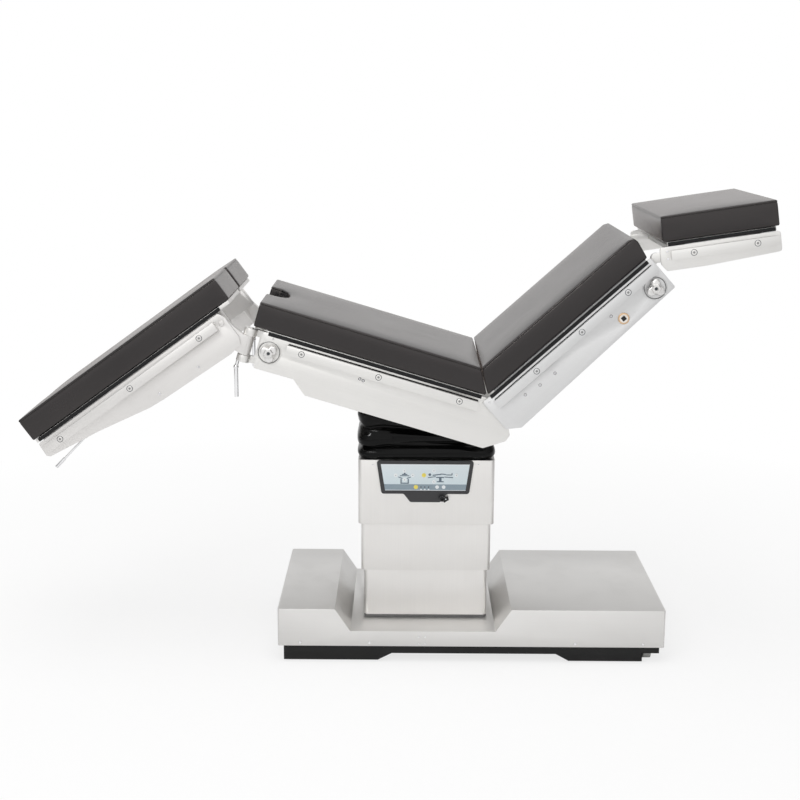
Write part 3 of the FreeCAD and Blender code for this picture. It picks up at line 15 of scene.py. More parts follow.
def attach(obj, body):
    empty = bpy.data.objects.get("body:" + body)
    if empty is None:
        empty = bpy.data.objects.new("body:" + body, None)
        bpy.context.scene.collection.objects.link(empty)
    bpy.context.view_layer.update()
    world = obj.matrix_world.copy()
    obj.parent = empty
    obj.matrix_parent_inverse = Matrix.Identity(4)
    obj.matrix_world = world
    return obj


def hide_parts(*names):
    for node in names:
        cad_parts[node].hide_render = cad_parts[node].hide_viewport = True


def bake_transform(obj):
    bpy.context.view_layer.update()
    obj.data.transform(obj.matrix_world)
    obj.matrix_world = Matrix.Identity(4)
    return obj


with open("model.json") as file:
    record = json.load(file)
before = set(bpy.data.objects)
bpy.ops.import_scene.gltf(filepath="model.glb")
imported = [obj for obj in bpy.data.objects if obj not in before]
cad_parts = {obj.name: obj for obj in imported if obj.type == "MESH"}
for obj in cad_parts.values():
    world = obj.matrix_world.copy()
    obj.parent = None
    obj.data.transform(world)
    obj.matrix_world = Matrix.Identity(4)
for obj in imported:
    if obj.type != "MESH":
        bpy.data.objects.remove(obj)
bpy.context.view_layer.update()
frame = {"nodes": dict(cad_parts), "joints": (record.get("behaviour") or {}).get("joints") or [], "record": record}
record = frame["record"]
joints = {joint["name"]: joint for joint in frame["joints"]}
body_of = {node: body for body, nodes in record["behaviour"]["bodies"].items() for node in nodes}
MM = 0.001

# %% [markdown]
# ## Sections
# The seat, the back, the head rest and the legs each lie at their own angle. A small class keeps
# the hinge and the slope, so that a screw or a cushion can be placed in the plain coordinates of
# its own section, in millimetres: along the section, across the table, and above the hinge.

# %% Sections of the table
SEAT_SLOPE = -16.5
BACK_SLOPE = 42.0
HEAD_SLOPE = 8.6
LEG_SLOPE = 36.0


class Section:
    """A flat section of the table that turns about its hinge."""

    def __init__(self, joint, slope):
        hinge = joints[joint]["pos_m"]
        self.slope = math.radians(slope)
        self.matrix = Matrix.Translation((hinge[0], 0, hinge[2])) @ Matrix.Rotation(-self.slope, 4, "Y")

    def point(self, along, across, above):
        return self.matrix @ Vector((along * MM, across * MM, above * MM))


seat = Section("long_tilt", SEAT_SLOPE)
back = Section("back_tilt", BACK_SLOPE)
head = Section("head_tilt", HEAD_SLOPE)
leg = Section("leg_pitch_front", LEG_SLOPE)
print("back hinge at", [round(v, 3) for v in back.point(0, 0, 0)])

# %% [markdown]
# ## Writing node trees as sums
# A shader or a geometry tree is easier to read as arithmetic. `Wire` wraps one output socket and
# turns each operator into a Math node. `Tree` adds every other kind of node.

# %% Wires and trees


def operator(operation, swapped=False):
    """A method that adds one Math node; swapped puts the wire second, as in 1 - wire."""
    if swapped:
        return lambda wire, other: wire.maths(operation, other, wire)
    return lambda wire, *other: wire.maths(operation, wire, *other)


class Wire:
    """One output of a node; arithmetic on it adds Math nodes."""

    def __init__(self, tree, socket):
        self.tree = tree
        self.socket = socket

    def maths(self, operation, *values):
        return self.tree.node("ShaderNodeMath", {"operation": operation}, dict(enumerate(values)))

    def wave(self, operation):
        return self.maths(operation, self)

    __add__, __radd__ = operator("ADD"), operator("ADD", True)
    __sub__, __rsub__ = operator("SUBTRACT"), operator("SUBTRACT", True)
    __mul__, __rmul__ = operator("MULTIPLY"), operator("MULTIPLY", True)
    __truediv__ = operator("DIVIDE")
    __lt__, __gt__ = operator("LESS_THAN"), operator("GREATER_THAN")
    __abs__ = operator("ABSOLUTE")
    minimum, maximum, power = operator("MINIMUM"), operator("MAXIMUM"), operator("POWER")


class Tree:
    """A node tree that is filled from Python."""

    def __init__(self, tree):
        self.tree = tree

    def node(self, kind, settings=None, values=None, output=0):
        made = self.tree.nodes.new(kind)
        for key, value in (settings or {}).items():
            if key == "stops":
                self.colour_stops(made.color_ramp, value)
            else:
                setattr(made, key, value)
        for key, value in (values or {}).items():
            if isinstance(value, Wire):
                self.tree.links.new(value.socket, made.inputs[key])
            else:
                made.inputs[key].default_value = value
        return Wire(self, made.outputs[output])

    def colour_stops(self, ramp, stops):
        while len(ramp.elements) < len(stops):
            ramp.elements.new(0.5)
        for element, (position, colour) in zip(ramp.elements, stops):
            element.position = position
            element.color = (*colour, 1)

    def separate(self, vector):
        """The three numbers of a vector."""
        node = self.tree.nodes.new("ShaderNodeSeparateXYZ")
        self.tree.links.new(vector.socket, node.inputs[0])
        return [Wire(self, output) for output in node.outputs]

    def combine(self, x, y, z):
        return self.node("ShaderNodeCombineXYZ", None, {0: x, 1: y, 2: z})


print("wires and trees are ready")

# %% [markdown]
# ## Finishes
# Every finish reads Object coordinates in metres. `Finish` opens a material, offers noise at a
# real size and closes with the Principled shader. Numbers that are the same all over go straight
# onto the shader.

# %% The finish class


class Finish(Tree):
    """A material being built."""

    def __init__(self, name):
        self.material = bpy.data.materials.new(name)
        self.material.use_nodes = True
        super().__init__(self.material.node_tree)
        self.tree.nodes.clear()
        self.place = self.node("ShaderNodeTexCoord", output=3)

    def turned(self, slope=0.0, stretch=(1, 1, 1), centre=(0, 0, 0)):
        """Object coordinates about a centre, turned into a section's plane, then stretched."""
        moved = self.node("ShaderNodeVectorMath", {"operation": "SUBTRACT"}, {0: self.place, 1: centre})
        flat = self.node("ShaderNodeMapping", None, {"Vector": moved, "Rotation": (0, slope, 0)})
        return self.node("ShaderNodeVectorMath", {"operation": "MULTIPLY"}, {0: flat, 1: stretch})

    def noise(self, per_metre, detail=3, rough=0.5, at=None):
        values = {"Vector": at or self.place, "Scale": per_metre, "Detail": detail, "Roughness": rough}
        return self.node("ShaderNodeTexNoise", None, values)

    def blend(self, share, low, high):
        """A colour between two others."""
        values = {0: share, 6: self.rgba(low), 7: self.rgba(high)}
        return self.node("ShaderNodeMix", {"data_type": "RGBA"}, values, output=2)

    def rgba(self, colour):
        return colour if isinstance(colour, Wire) else (*colour, 1)

    def bump(self, height, depth, strength=1.0):
        return self.node("ShaderNodeBump", None, {"Height": height, "Distance": depth, "Strength": strength})

    def close(self, **sockets):
        values = {key.replace("_", " "): self.rgba(value) if isinstance(value, tuple) else value
                  for key, value in sockets.items()}
        shader = self.node("ShaderNodeBsdfPrincipled", None, values)
        self.node_output(shader)
        return self.material

    def node_output(self, shader):
        out = self.tree.nodes.new("ShaderNodeOutputMaterial")
        self.tree.links.new(shader.socket, out.inputs["Surface"])


print("finish class is ready")

# %% [markdown]
# ## Brushed stainless steel
# The covers, plates and rails are satin stainless. What the eye reads as steel is a faint grain
# along the sheet, a slow drift of tone, and a few softer smudges from cleaning. The grain is
# noise that is stretched a hundred times along one direction, and it turns with each section.

# %% Steel finishes


def steel(name, tone, slope=0.0, grain=(4, 500, 500), rough=0.3, depth=0.00002):
    paint = Finish(name)
    streak = paint.noise(1.0, 4, 0.6, paint.turned(slope, grain))
    drift = paint.noise(3.2, 3)
    smudge = paint.noise(17, 4, 0.6)
    share = streak * 0.45 + drift * 0.75 - 0.1
    dark = tuple(part * 0.9 for part in tone)
    light = tuple(min(1.0, part * 1.05) for part in tone)
    roughness = streak * 0.14 + (smudge > 0.56) * 0.03 + smudge * 0.1 + (rough - 0.12)
    return paint.close(Base_Color=paint.blend(share, dark, light), Metallic=1.0, Roughness=roughness,
                       Normal=paint.bump(streak, depth, 0.5))


cover_steel = steel("satin_cover_steel", (0.85, 0.835, 0.815), 0.0, (500, 4, 4), 0.42)
# The base cover's lower tone is painted shade: it darkens the whole cover to match how dark its top reads under
# the light.
base_steel = steel("satin_base_steel", (0.76, 0.75, 0.735), 0.0, (4, 4, 500), 0.40)
seat_steel = steel("satin_seat_steel", (0.85, 0.84, 0.82), seat.slope, (4, 500, 500), 0.46)
back_steel = steel("satin_back_steel", (0.76, 0.76, 0.76), back.slope, (4, 500, 500), 0.50)
head_steel = steel("satin_head_steel", (0.88, 0.87, 0.85), head.slope, (4, 500, 500), 0.46)
leg_steel = steel("satin_leg_steel", (0.80, 0.785, 0.77), leg.slope, (4, 500, 500), 0.46)
ground_steel = steel("ground_frame_steel", (0.56, 0.55, 0.54), 0.0, (90, 90, 90), 0.38, 0.00004)
print("steel finishes:", 7)

# %% [markdown]
# ## Chrome, zinc and bronze
# Levers are polished chrome over castings, the knobs are cast with a satin finish, the caster
# forks are zinc plated with a cloudy spangle, and the bush of the crank is turned bronze with rings
# from the lathe.

# %% Small metals


def chrome():
    paint = Finish("polished_chrome")
    haze = paint.noise(60, 3)
    return paint.close(Base_Color=paint.blend(haze, (0.80, 0.80, 0.81), (0.92, 0.92, 0.93)), Metallic=1.0,
                       Roughness=haze * 0.12 + 0.05)


def zinc():
    paint = Finish("zinc_plate")
    cloud = paint.node("ShaderNodeTexVoronoi", None, {"Vector": paint.place, "Scale": 160.0}, output="Color")
    share = paint.separate(cloud)[0]
    return paint.close(Base_Color=paint.blend(share, (0.42, 0.42, 0.41), (0.60, 0.60, 0.58)), Metallic=1.0,
                       Roughness=share * 0.15 + 0.33)


def bronze():
    paint = Finish("turned_bronze")
    x, y, z = paint.separate(paint.turned(back.slope, (1, 1, 1), tuple(back.point(416, 0, -67))))
    radius = (x * x + z * z).power(0.5)
    ring = (radius * 9000).wave("SINE")
    tan = paint.blend(ring * 0.5 + 0.5, (0.66, 0.44, 0.26), (0.80, 0.58, 0.38))
    return paint.close(Base_Color=paint.blend(radius < 0.0112, tan, (0.88, 0.84, 0.78)),
                       Metallic=1.0, Roughness=ring * 0.05 + 0.32)


chrome_finish = chrome()
knob_finish = steel("cast_knob_satin", (0.82, 0.81, 0.80), 0.0, (90, 90, 90), 0.34)
zinc_finish = zinc()
bronze_finish = bronze()
print("small metals:", 4)

# %% [markdown]
# ## Artificial leather
# The cushions are black vinyl on foam. It is smooth and a little shiny: from a low angle it
# mirrors the room as a grey that a painted warm tint on its sheen and specular reflection turns
# warm, and from the front it stays nearly black. The grain is a fine Voronoi pattern of about one
# millimetre, far weaker than on real hide, with a slow waviness from the foam. A dark sewn line
# runs round the side just under the top edge.

# %% Leather finish
SEAT_SEAM = 257.5
BACK_SEAM = 75.5
HEAD_SEAM = 101.0
LEG_SEAM = 103.5


def leather(name, section, seam_height):
    """Black vinyl with its seam at a height above the section's hinge, in millimetres."""
    paint = Finish(name)
    pores = paint.node("ShaderNodeTexVoronoi", {"feature": "F1"}, {"Vector": paint.place, "Scale": 950.0},
                       output="Distance")
    waves = paint.noise(9, 3, 0.45)
    wear = paint.noise(4.5, 4, 0.6)
    centre = tuple(section.point(0, 0, 0))
    _, _, above = paint.separate(paint.turned(section.slope, (1, 1, 1), centre))
    seam = (abs(above - seam_height * MM) * (-1 / 0.0011) + 1).maximum(0)
    tone = paint.blend(wear, (0.010, 0.010, 0.012), (0.018, 0.017, 0.019))
    tone = paint.blend(seam, tone, (0.002, 0.002, 0.002))
    height = pores * 0.00008 + waves * 0.0016 - seam * 0.0009
    # The warm Sheen Tint and Specular Tint are a painted warm reflection; the room itself is white.
    return paint.close(Base_Color=tone, Roughness=wear * 0.10 + pores * 0.05 + 0.17,
                       Normal=paint.bump(height, 1.0, 0.5), Sheen_Weight=0.22, Sheen_Roughness=0.25,
                       Sheen_Tint=(1.0, 0.84, 0.76), Specular_IOR_Level=0.6, Specular_Tint=(1.0, 0.92, 0.87))


seat_leather = leather("seat_vinyl", seat, SEAT_SEAM)
back_leather = leather("back_vinyl", back, BACK_SEAM)
head_leather = leather("head_vinyl", head, HEAD_SEAM)
leg_leather = leather("leg_vinyl", leg, LEG_SEAM)
print("leather finishes:", 4)

# %% [markdown]
# ## Rubber and plastic
# The bellows are glossy black rubber, the feet and the seal are matt, and the casting is black
# enamel with a light orange peel. The keypad's frame is moulded plastic with a fine spark grain.

# %% Rubber, paint and plastic


def plain(name, low, high, rough, grain, depth, **more):
    """A dull material with a drifting tone and a fine surface grain."""
    paint = Finish(name)
    drift = paint.noise(11, 3)
    fine = paint.noise(grain, 2)
    return paint.close(Base_Color=paint.blend(drift, low, high), Roughness=fine * 0.12 + rough,
                       Normal=paint.bump(fine, depth, 0.6), **more)


bellows_finish = plain("bellows_rubber", (0.001, 0.001, 0.001), (0.003, 0.003, 0.003), 0.05, 30, 0.0004,
                       Specular_IOR_Level=0.16)
# Black strips of painted shade under the cushions' edges and in the slots between plates and rails.
shade_strip_finish = plain("edge_trim_rubber", (0.004, 0.004, 0.005), (0.008, 0.008, 0.009), 0.32, 500, 0.0001,
                    Specular_IOR_Level=0.3)
gasket_finish = plain("column_gasket_rubber", (0.11, 0.11, 0.11), (0.17, 0.17, 0.168), 0.5, 500, 0.0002)
seal_finish = plain("seal_rubber", (0.012, 0.012, 0.012), (0.025, 0.025, 0.025), 0.5, 700, 0.0002)
casting_finish = plain("black_enamel", (0.006, 0.006, 0.006), (0.012, 0.012, 0.012), 0.40, 420, 0.00012,
                       Specular_IOR_Level=0.3)
frame_finish = plain("keypad_frame_plastic", (0.028, 0.028, 0.030), (0.036, 0.036, 0.039), 0.36, 1800,
                     0.00006)
tyre_finish = plain("grey_tread", (0.30, 0.30, 0.29), (0.40, 0.40, 0.385), 0.45, 600, 0.0002)
enamel_finish = plain("grey_enamel", (0.24, 0.26, 0.29), (0.30, 0.32, 0.35), 0.3, 380, 0.0002)
battery_finish = plain("battery_case_plastic", (0.05, 0.05, 0.055), (0.07, 0.07, 0.075), 0.45, 900, 0.0001)
print("rubber and plastic finishes:", 9)

# %% [markdown]
# ## Printed film of the keypad
# The keypad is one printed film: pale blue that fades to white, a slate strip along the bottom
# and a thin white edge that follows the frame. The edge is the distance to the nearest of four
# straight sides, so the film is drawn with arithmetic and needs no picture.

# %% Keypad film


def film():
    paint = Finish("keypad_film")
    x, _, z = paint.separate(paint.place)
    lean = 0.14
    bottom, top, strip = 0.4712, 0.5448, 0.4888
    left = x + 0.1178 + (z - bottom) * lean
    right = 0.1118 - x + (z - bottom) * lean
    edge = left.minimum(right).minimum(z - bottom).minimum(top - z)
    fade = ((z - strip) * 14 + paint.noise(9, 2) * 0.12).minimum(1).maximum(0)
    sky = paint.blend(fade, (0.66, 0.76, 0.80), (0.80, 0.86, 0.89))
    slate = paint.blend(paint.noise(30, 2), (0.24, 0.31, 0.36), (0.29, 0.36, 0.41))
    ground = paint.blend(z < strip, sky, slate)
    colour = paint.blend(edge < 0.0011, ground, (0.86, 0.90, 0.93))
    return paint.close(Base_Color=colour, Roughness=paint.noise(800, 2) * 0.1 + 0.22,
                       Normal=paint.bump(paint.noise(500, 2), 0.00003, 0.5))


def ink(name, low, high, rough=0.3):
    paint = Finish(name)
    return paint.close(Base_Color=paint.blend(paint.noise(220, 2), low, high),
                       Roughness=paint.noise(400, 2) * 0.08 + rough)


film_finish = film()
# The white of the keys, also used for the painted highlight on the socket cap.
white_key = ink("white_key_dome", (0.80, 0.84, 0.86), (0.88, 0.91, 0.92))
yellow_key = ink("yellow_key_dome", (0.80, 0.66, 0.10), (0.90, 0.76, 0.16))
dark_ink = ink("dark_blue_ink", (0.10, 0.14, 0.18), (0.14, 0.19, 0.24))
# Dark lamp lenses; the same dark is painted shade in the rings round flush caps and seat plate screws and in the
# knobs' recesses.
dark_lens_and_shade = ink("dark_lamp_lens", (0.05, 0.06, 0.07), (0.08, 0.09, 0.10), 0.15)
# Painted shade for the cable socket's opening and the crank's square hole.
hole_shadow_paint = ink("socket_shadow", (0.006, 0.006, 0.006), (0.012, 0.012, 0.012), 0.5)
# Grey painted shade for the recesses of the rail caps, the rings round the back plate screws and the knobs' groove
# rings.
grey_shade_paint = ink("cap_socket_grey", (0.22, 0.22, 0.22), (0.30, 0.30, 0.30), 0.4)
print("keypad finishes:", 7)

# %% [markdown]
# ## Helpers for meshes
# A finished piece sits at the origin with its place in its mesh. `piece` links a mesh, gives it a
# finish and lets it ride on a body. `settle` turns modifiers into plain geometry, and `opened` and
# `written` go to an edit mesh and back.

# %% Mesh helpers


def loose(data, name="work"):
    """A linked object that rides on nothing yet."""
    thing = bpy.data.objects.new(name, data)
    bpy.context.scene.collection.objects.link(thing)
    return thing


def opened(mesh):
    """An edit mesh with a mesh's faces."""
    work = bmesh.new()
    work.from_mesh(mesh)
    return work


def written(work, mesh):
    """The mesh, filled from its edit mesh."""
    work.to_mesh(mesh)
    work.free()
    return mesh


def piece(name, mesh, finish, body, smooth=35):
    thing = loose(mesh, name)
    if finish:
        mesh.materials.clear()
        mesh.materials.append(finish)
    mesh.shade_smooth()
    mesh.set_sharp_from_angle(angle=math.radians(smooth))
    if body:
        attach(thing, body)
    return thing


def settle(thing):
    """Bakes a thing's modifiers into its mesh."""
    graph = bpy.context.evaluated_depsgraph_get()
    graph.update()
    mesh = bpy.data.meshes.new_from_object(thing.evaluated_get(graph))
    thing.modifiers.clear()
    thing.data = mesh
    return thing


def drop(thing):
    """Takes the mesh of a work object and removes the object."""
    mesh = thing.data
    bpy.data.objects.remove(thing)
    return mesh


def merged_copy(node):
    """A node's mesh with its loose triangles joined and its flat faces made whole."""
    mesh = frame["nodes"][node].data.copy()
    work = opened(mesh)
    bmesh.ops.remove_doubles(work, verts=work.verts, dist=0.00001)
    bmesh.ops.dissolve_limit(work, angle_limit=math.radians(0.6), verts=work.verts, edges=work.edges)
    written(work, mesh)
    if "sharp_face" in mesh.attributes:
        mesh.attributes.remove(mesh.attributes["sharp_face"])
    return mesh


def rounded(thing, width, segments, angle):
    """Rounds every edge sharper than an angle."""
    bevel = thing.modifiers.new("rounded_edges", "BEVEL")
    bevel.width = width * MM
    bevel.segments = segments
    bevel.limit_method = "ANGLE"
    bevel.angle_limit = math.radians(angle)
    return settle(thing)


def eased(node, finish, width, segments=2):
    """The node's own shape with broken edges, which catch the light on real sheet and castings."""
    mesh = drop(rounded(loose(merged_copy(node), node + "_eased"), width, segments, 28))
    made = piece(node + "_finish", mesh, finish, body_of[node])
    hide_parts(node)
    return made


print("mesh helpers are ready")

# %% [markdown]
# ## Sheet covers, plates and castings
# Laser-cut plate has a deburred edge of a few tenths of a millimetre, a casting a millimetre or
# more. Each of these solids gets a copy with that edge, and the copy takes its place.

# %% Ease the edges of the solid parts
EASED = [
    ("base_cover", base_steel, 0.7), ("base_frame", casting_finish, 1.6),
    ("column_cover_lower", cover_steel, 0.5), ("column_cover_middle", cover_steel, 0.5),
    ("column_cover_upper", cover_steel, 0.5), ("column_gasket", gasket_finish, 0.8),
    ("column_head", ground_steel, 1.0), ("tilt_cross", ground_steel, 1.0),
    ("seat_side_plates", seat_steel, 0.8), ("seat_frame", seat_steel, 0.9),
    ("seat_rails", seat_steel, 0.8), ("back_side_plates", back_steel, 0.8),
    ("back_frame", back_steel, 0.9), ("back_rails", back_steel, 0.8),
    ("head_frame", head_steel, 0.8), ("head_rails", head_steel, 0.8),
    ("leg_frame_front", leg_steel, 0.8), ("leg_frame_rear", leg_steel, 0.8),
    ("leg_rail_front", leg_steel, 1.0), ("leg_rail_rear", leg_steel, 1.0),
    ("leg_swivel_front", leg_steel, 1.2), ("leg_swivel_rear", leg_steel, 1.2),
    ("crank_socket", bronze_finish, 0.6), ("handset_socket", frame_finish, 0.6),
    ("panel_frame", frame_finish, 1.6), ("rubber_feet", seal_finish, 0.8),
    ("clamp_handle_front", chrome_finish, 0.5), ("clamp_handle_rear", chrome_finish, 0.5),
    ("release_lever_front", chrome_finish, 0.5), ("release_lever_rear", chrome_finish, 0.5),
]
for node, finish, width in EASED:
    eased(node, finish, width)
for corner in ("front_left", "front_right", "rear_left", "rear_right"):
    eased("caster_fork_" + corner, zinc_finish, 0.8)
    eased("caster_wheel_" + corner, tyre_finish, 1.6, 3)
print("eased parts:", len(EASED) + 8)

# %% Finishes of the parts inside
INSIDE = {"caster_sleeves": zinc_finish, "power_unit": enamel_finish, "battery_pack": battery_finish,
          "guide_tube_outer": ground_steel, "guide_tube_middle": ground_steel,
          "guide_tube_inner": ground_steel, "lift_barrel": ground_steel, "lift_rod": chrome_finish,
          "middle_carrier": ground_steel, "panel_membrane": film_finish}
for node, finish in INSIDE.items():
    mesh = frame["nodes"][node].data
    mesh.materials.clear()
    mesh.materials.append(finish)
print("carried-over parts:", len(INSIDE))

# %% [markdown]
# ## Cushions
# Each cushion is foam in a tight vinyl cover that is sewn from flat panels. The seams stay where
# the tailor put them, and the panels between them swell. So the solid's mesh is cut into a grid,
# its seams and underside are pinned, and the Cloth solver blows up the rest from inside with air
# pressure, which is a good stand-in for foam. How far a point may move is capped, because these
# pads are firm. One subdivision makes the skin even.

# %% Cushion maker
GRID = 26 * MM
CLOTH_FRAMES = 12
INSET = 1.3
TOP_SWELL = 4.6 * MM
SIDE_SWELL = 1.1 * MM
SEAM_HALF = 1.7
SEAM_DEPTH = 2.2


def smaller(mesh, section, amount):
    """Moves each point towards the pad's middle by a fixed distance in the section's own axes."""
    inverse = section.matrix.inverted()
    points = [inverse @ vertex.co for vertex in mesh.vertices]
    low = Vector(min(point[axis] for point in points) for axis in range(3))
    high = Vector(max(point[axis] for point in points) for axis in range(3))
    middle = (low + high) / 2
    for vertex, point in zip(mesh.vertices, points):
        for axis in range(3):
            half = (high[axis] - low[axis]) / 2
            point[axis] = middle[axis] + (point[axis] - middle[axis]) * (half - amount * MM) / half
        vertex.co = section.matrix @ point
    return low, high


def gridded(mesh, section, low, high):
    """Cuts the pad along evenly spaced planes, so that its flat panels can bend."""
    work = opened(mesh)
    for axis in range(3):
        normal = section.matrix.to_3x3().col[axis]
        steps = max(2, round((high[axis] - low[axis]) / GRID))
        for step in range(1, steps):
            place = low.lerp(high, step / steps)
            bmesh.ops.bisect_plane(work, geom=work.verts[:] + work.edges[:] + work.faces[:],
                                   plane_co=section.matrix @ place, plane_no=normal, dist=0.00001)
    written(work, mesh)


def seamed(mesh, section, height):
    """Sinks a narrow sewn seam into the sides at a height above the hinge."""
    work = opened(mesh)
    above = section.matrix.to_3x3().col[2]
    for level in (height - SEAM_HALF, height, height + SEAM_HALF):
        bmesh.ops.bisect_plane(work, geom=work.verts[:] + work.edges[:] + work.faces[:],
                               plane_co=section.point(0, 0, level), plane_no=above, dist=0.00001)
    work.normal_update()
    inverse = section.matrix.inverted()
    for vertex in work.verts:
        level = (inverse @ vertex.co).z / MM
        if abs(level - height) < 0.05 and abs(vertex.normal.dot(above)) < 0.5:
            vertex.co -= vertex.normal * SEAM_DEPTH * MM
    written(work, mesh)


def held_points(mesh, section):
    """Seams and underside: the points whose faces don't all look the same way, or look down."""
    down = -section.matrix.to_3x3().col[2]
    facing = [[] for _ in mesh.vertices]
    for face in mesh.polygons:
        for index in face.vertices:
            facing[index].append(face.normal.copy())
    return [index for index, normals in enumerate(facing)
            if any(normal.dot(normals[0]) < 0.995 or normal.dot(down) > 0.9 for normal in normals)]


def swollen(thing, section):
    """Swells the pad with the Cloth solver and caps how far each point goes."""
    before = [vertex.co.copy() for vertex in thing.data.vertices]
    pins = thing.vertex_groups.new(name="seams")
    pins.add(held_points(thing.data, section), 1.0, "ADD")
    cloth = thing.modifiers.new("foam_pressure", "CLOTH")
    cloth.settings.quality = 4
    cloth.settings.mass = 0.3
    cloth.settings.tension_stiffness = 25
    cloth.settings.compression_stiffness = 25
    cloth.settings.bending_stiffness = 2
    cloth.settings.use_pressure = True
    cloth.settings.uniform_pressure_force = 4
    cloth.settings.effector_weights.gravity = 0
    cloth.settings.vertex_group_mass = "seams"
    cloth.point_cache.frame_start = 1
    cloth.point_cache.frame_end = CLOTH_FRAMES
    scene = bpy.context.scene
    for step in range(1, CLOTH_FRAMES + 1):
        scene.frame_set(step)
    settle(thing)
    scene.frame_set(1)
    above = section.matrix.to_3x3().col[2]
    for vertex, start in zip(thing.data.vertices, before):
        move = vertex.co - start
        if move.length > 0:
            cap = TOP_SWELL if abs(move.normalized().dot(above)) > 0.8 else SIDE_SWELL
            vertex.co = start + move * (cap * math.tanh(move.length / cap) / move.length)


def cushion(node, section, finish, seam):
    """A vinyl pad in the place of the node's plain solid."""
    mesh = merged_copy(node)
    low, high = smaller(mesh, section, INSET)
    thing = loose(mesh, node + "_pad")
    rounded(thing, 3.2, 2, 40)
    gridded(thing.data, section, low, high)
    seamed(thing.data, section, seam)
    swollen(thing, section)
    finer = thing.modifiers.new("finer_skin", "SUBSURF")
    finer.levels = 1
    finer.render_levels = 1
    settle(thing)
    made = piece(node + "_vinyl", drop(thing), finish, body_of[node], 180)
    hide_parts(node)
    return made


PADS = [("seat_cushion", seat, seat_leather, SEAT_SEAM), ("back_cushion", back, back_leather, BACK_SEAM),
        ("head_cushion", head, head_leather, HEAD_SEAM), ("leg_cushion_front", leg, leg_leather, LEG_SEAM),
        ("leg_cushion_rear", leg, leg_leather, LEG_SEAM)]
for node, section, finish, seam in PADS:
    made = cushion(node, section, finish, seam)
    print(made.name, len(made.data.polygons), "faces")

# %% [markdown]
# ## Bellows
# The gap between the column and the tilting seat is closed by a folded rubber skin. Its shape
# follows a rule: a rounded rectangle goes round the column, and its size swings in and out with
# the folds, while its height climbs from the level rim to the tilted plate of the seat. Geometry
# Nodes states that rule once, with named inputs, and makes the lower and the upper half.

# %% Bellows as a rule


def open_rule(name, numbers, takes_mesh=False):
    """A geometry tree with number inputs and a finish; its inputs are set by their identifiers."""
    group = bpy.data.node_groups.new(name, "GeometryNodeTree")
    make = group.interface.new_socket
    if takes_mesh:
        make("Geometry", in_out="INPUT", socket_type="NodeSocketGeometry")
    sockets = {}
    for key, default in numbers:
        sockets[key] = make(key, in_out="INPUT", socket_type="NodeSocketFloat")
        sockets[key].default_value = default
    sockets["Finish"] = make("Finish", in_out="INPUT", socket_type="NodeSocketMaterial")
    make("Geometry", in_out="OUTPUT", socket_type="NodeSocketGeometry")
    tree = Tree(group)
    value = {socket.name: Wire(tree, socket) for socket in group.nodes.new("NodeGroupInput").outputs}
    return tree, value, {key: socket.identifier for key, socket in sockets.items()}


def close_rule(tree, geometry, finish):
    """Makes the shape real, dresses it and sends it out."""
    real = tree.node("GeometryNodeRealizeInstances", None, {0: geometry})
    dressed = tree.node("GeometryNodeSetMaterial", None, {"Geometry": real, "Material": finish})
    out = tree.tree.nodes.new("NodeGroupOutput")
    tree.tree.links.new(dressed.socket, out.inputs[0])


def bellows_rule():
    numbers = (("Half length", 0.181), ("Half depth", 0.163), ("Low height", 0.556), ("High height", 0.6),
               ("High slope", 0.0), ("Folds", 2.0), ("Fold depth", 0.017), ("Start fold", 0.0),
               ("Creases", 0.0030))
    tree, value, identifiers = open_rule("folded_skin", numbers)
    around, steps = 220, 56
    grid = tree.node("GeometryNodeMeshGrid", None, {"Vertices X": around + 1, "Vertices Y": steps + 1,
                                                     "Size X": 1.0, "Size Y": 1.0})
    across, up, _ = tree.separate(tree.node("GeometryNodeInputPosition"))
    turn = (across + 0.5) * (2 * math.pi)
    rise = up + 0.5
    cosine, sine = turn.wave("COSINE"), turn.wave("SINE")
    squareness = 0.22
    corner_x = cosine.wave("SIGN") * abs(cosine).power(squareness)
    corner_y = sine.wave("SIGN") * abs(sine).power(squareness)
    count = rise * value["Folds"] + value["Start fold"]
    wander = tree.node("ShaderNodeTexNoise", None,
                       {"Vector": tree.combine(corner_x * 1.1, corner_y * 1.1, count * 0.7), "Scale": 1.3,
                        "Detail": 1.0})
    lifted = (count * 2).minimum(1)
    fold = (count - corner_x * 0.22 * lifted + (wander - 0.5) * 0.9 * lifted).maximum(0).wave("FRACT")
    pillow = fold.power(0.55) * (1 - fold).power(1.0) * 1.95
    crease = tree.node("ShaderNodeTexNoise", None,
                       {"Vector": tree.combine(corner_x * 0.9, corner_y * 0.9, count * 1.5), "Scale": 1.6,
                        "Detail": 1.0, "Distortion": 0.6})
    swing = pillow * value["Fold depth"] + (crease - 0.5) * value["Creases"] * 2
    x = corner_x * (value["Half length"] + swing)
    y = corner_y * (value["Half depth"] + swing)
    low = value["Low height"]
    high = value["High height"] + x * value["High slope"]
    height = low + (high - low) * rise
    placed = tree.node("GeometryNodeSetPosition", None,
                       {"Geometry": grid, "Position": tree.combine(x, y, height)})
    merged = tree.node("GeometryNodeMergeByDistance", None, {"Geometry": placed, "Distance": 0.0002})
    close_rule(tree, merged, value["Finish"])
    return tree.tree, identifiers


def by_rule(name, group, identifiers, values, base=None):
    """Runs a geometry tree on an object and keeps its result as a plain mesh."""
    thing = loose(base or bpy.data.meshes.new(name), name + "_rule")
    modifier = thing.modifiers.new("rule", "NODES")
    modifier.node_group = group
    for key, setting in values.items():
        modifier[identifiers[key]] = setting
    settle(thing)
    return drop(thing)


def outward(mesh):
    """Turns every face of a mesh outwards."""
    work = opened(mesh)
    bmesh.ops.remove_doubles(work, verts=work.verts, dist=0.00002)
    bmesh.ops.recalc_face_normals(work, faces=work.faces)
    return written(work, mesh)


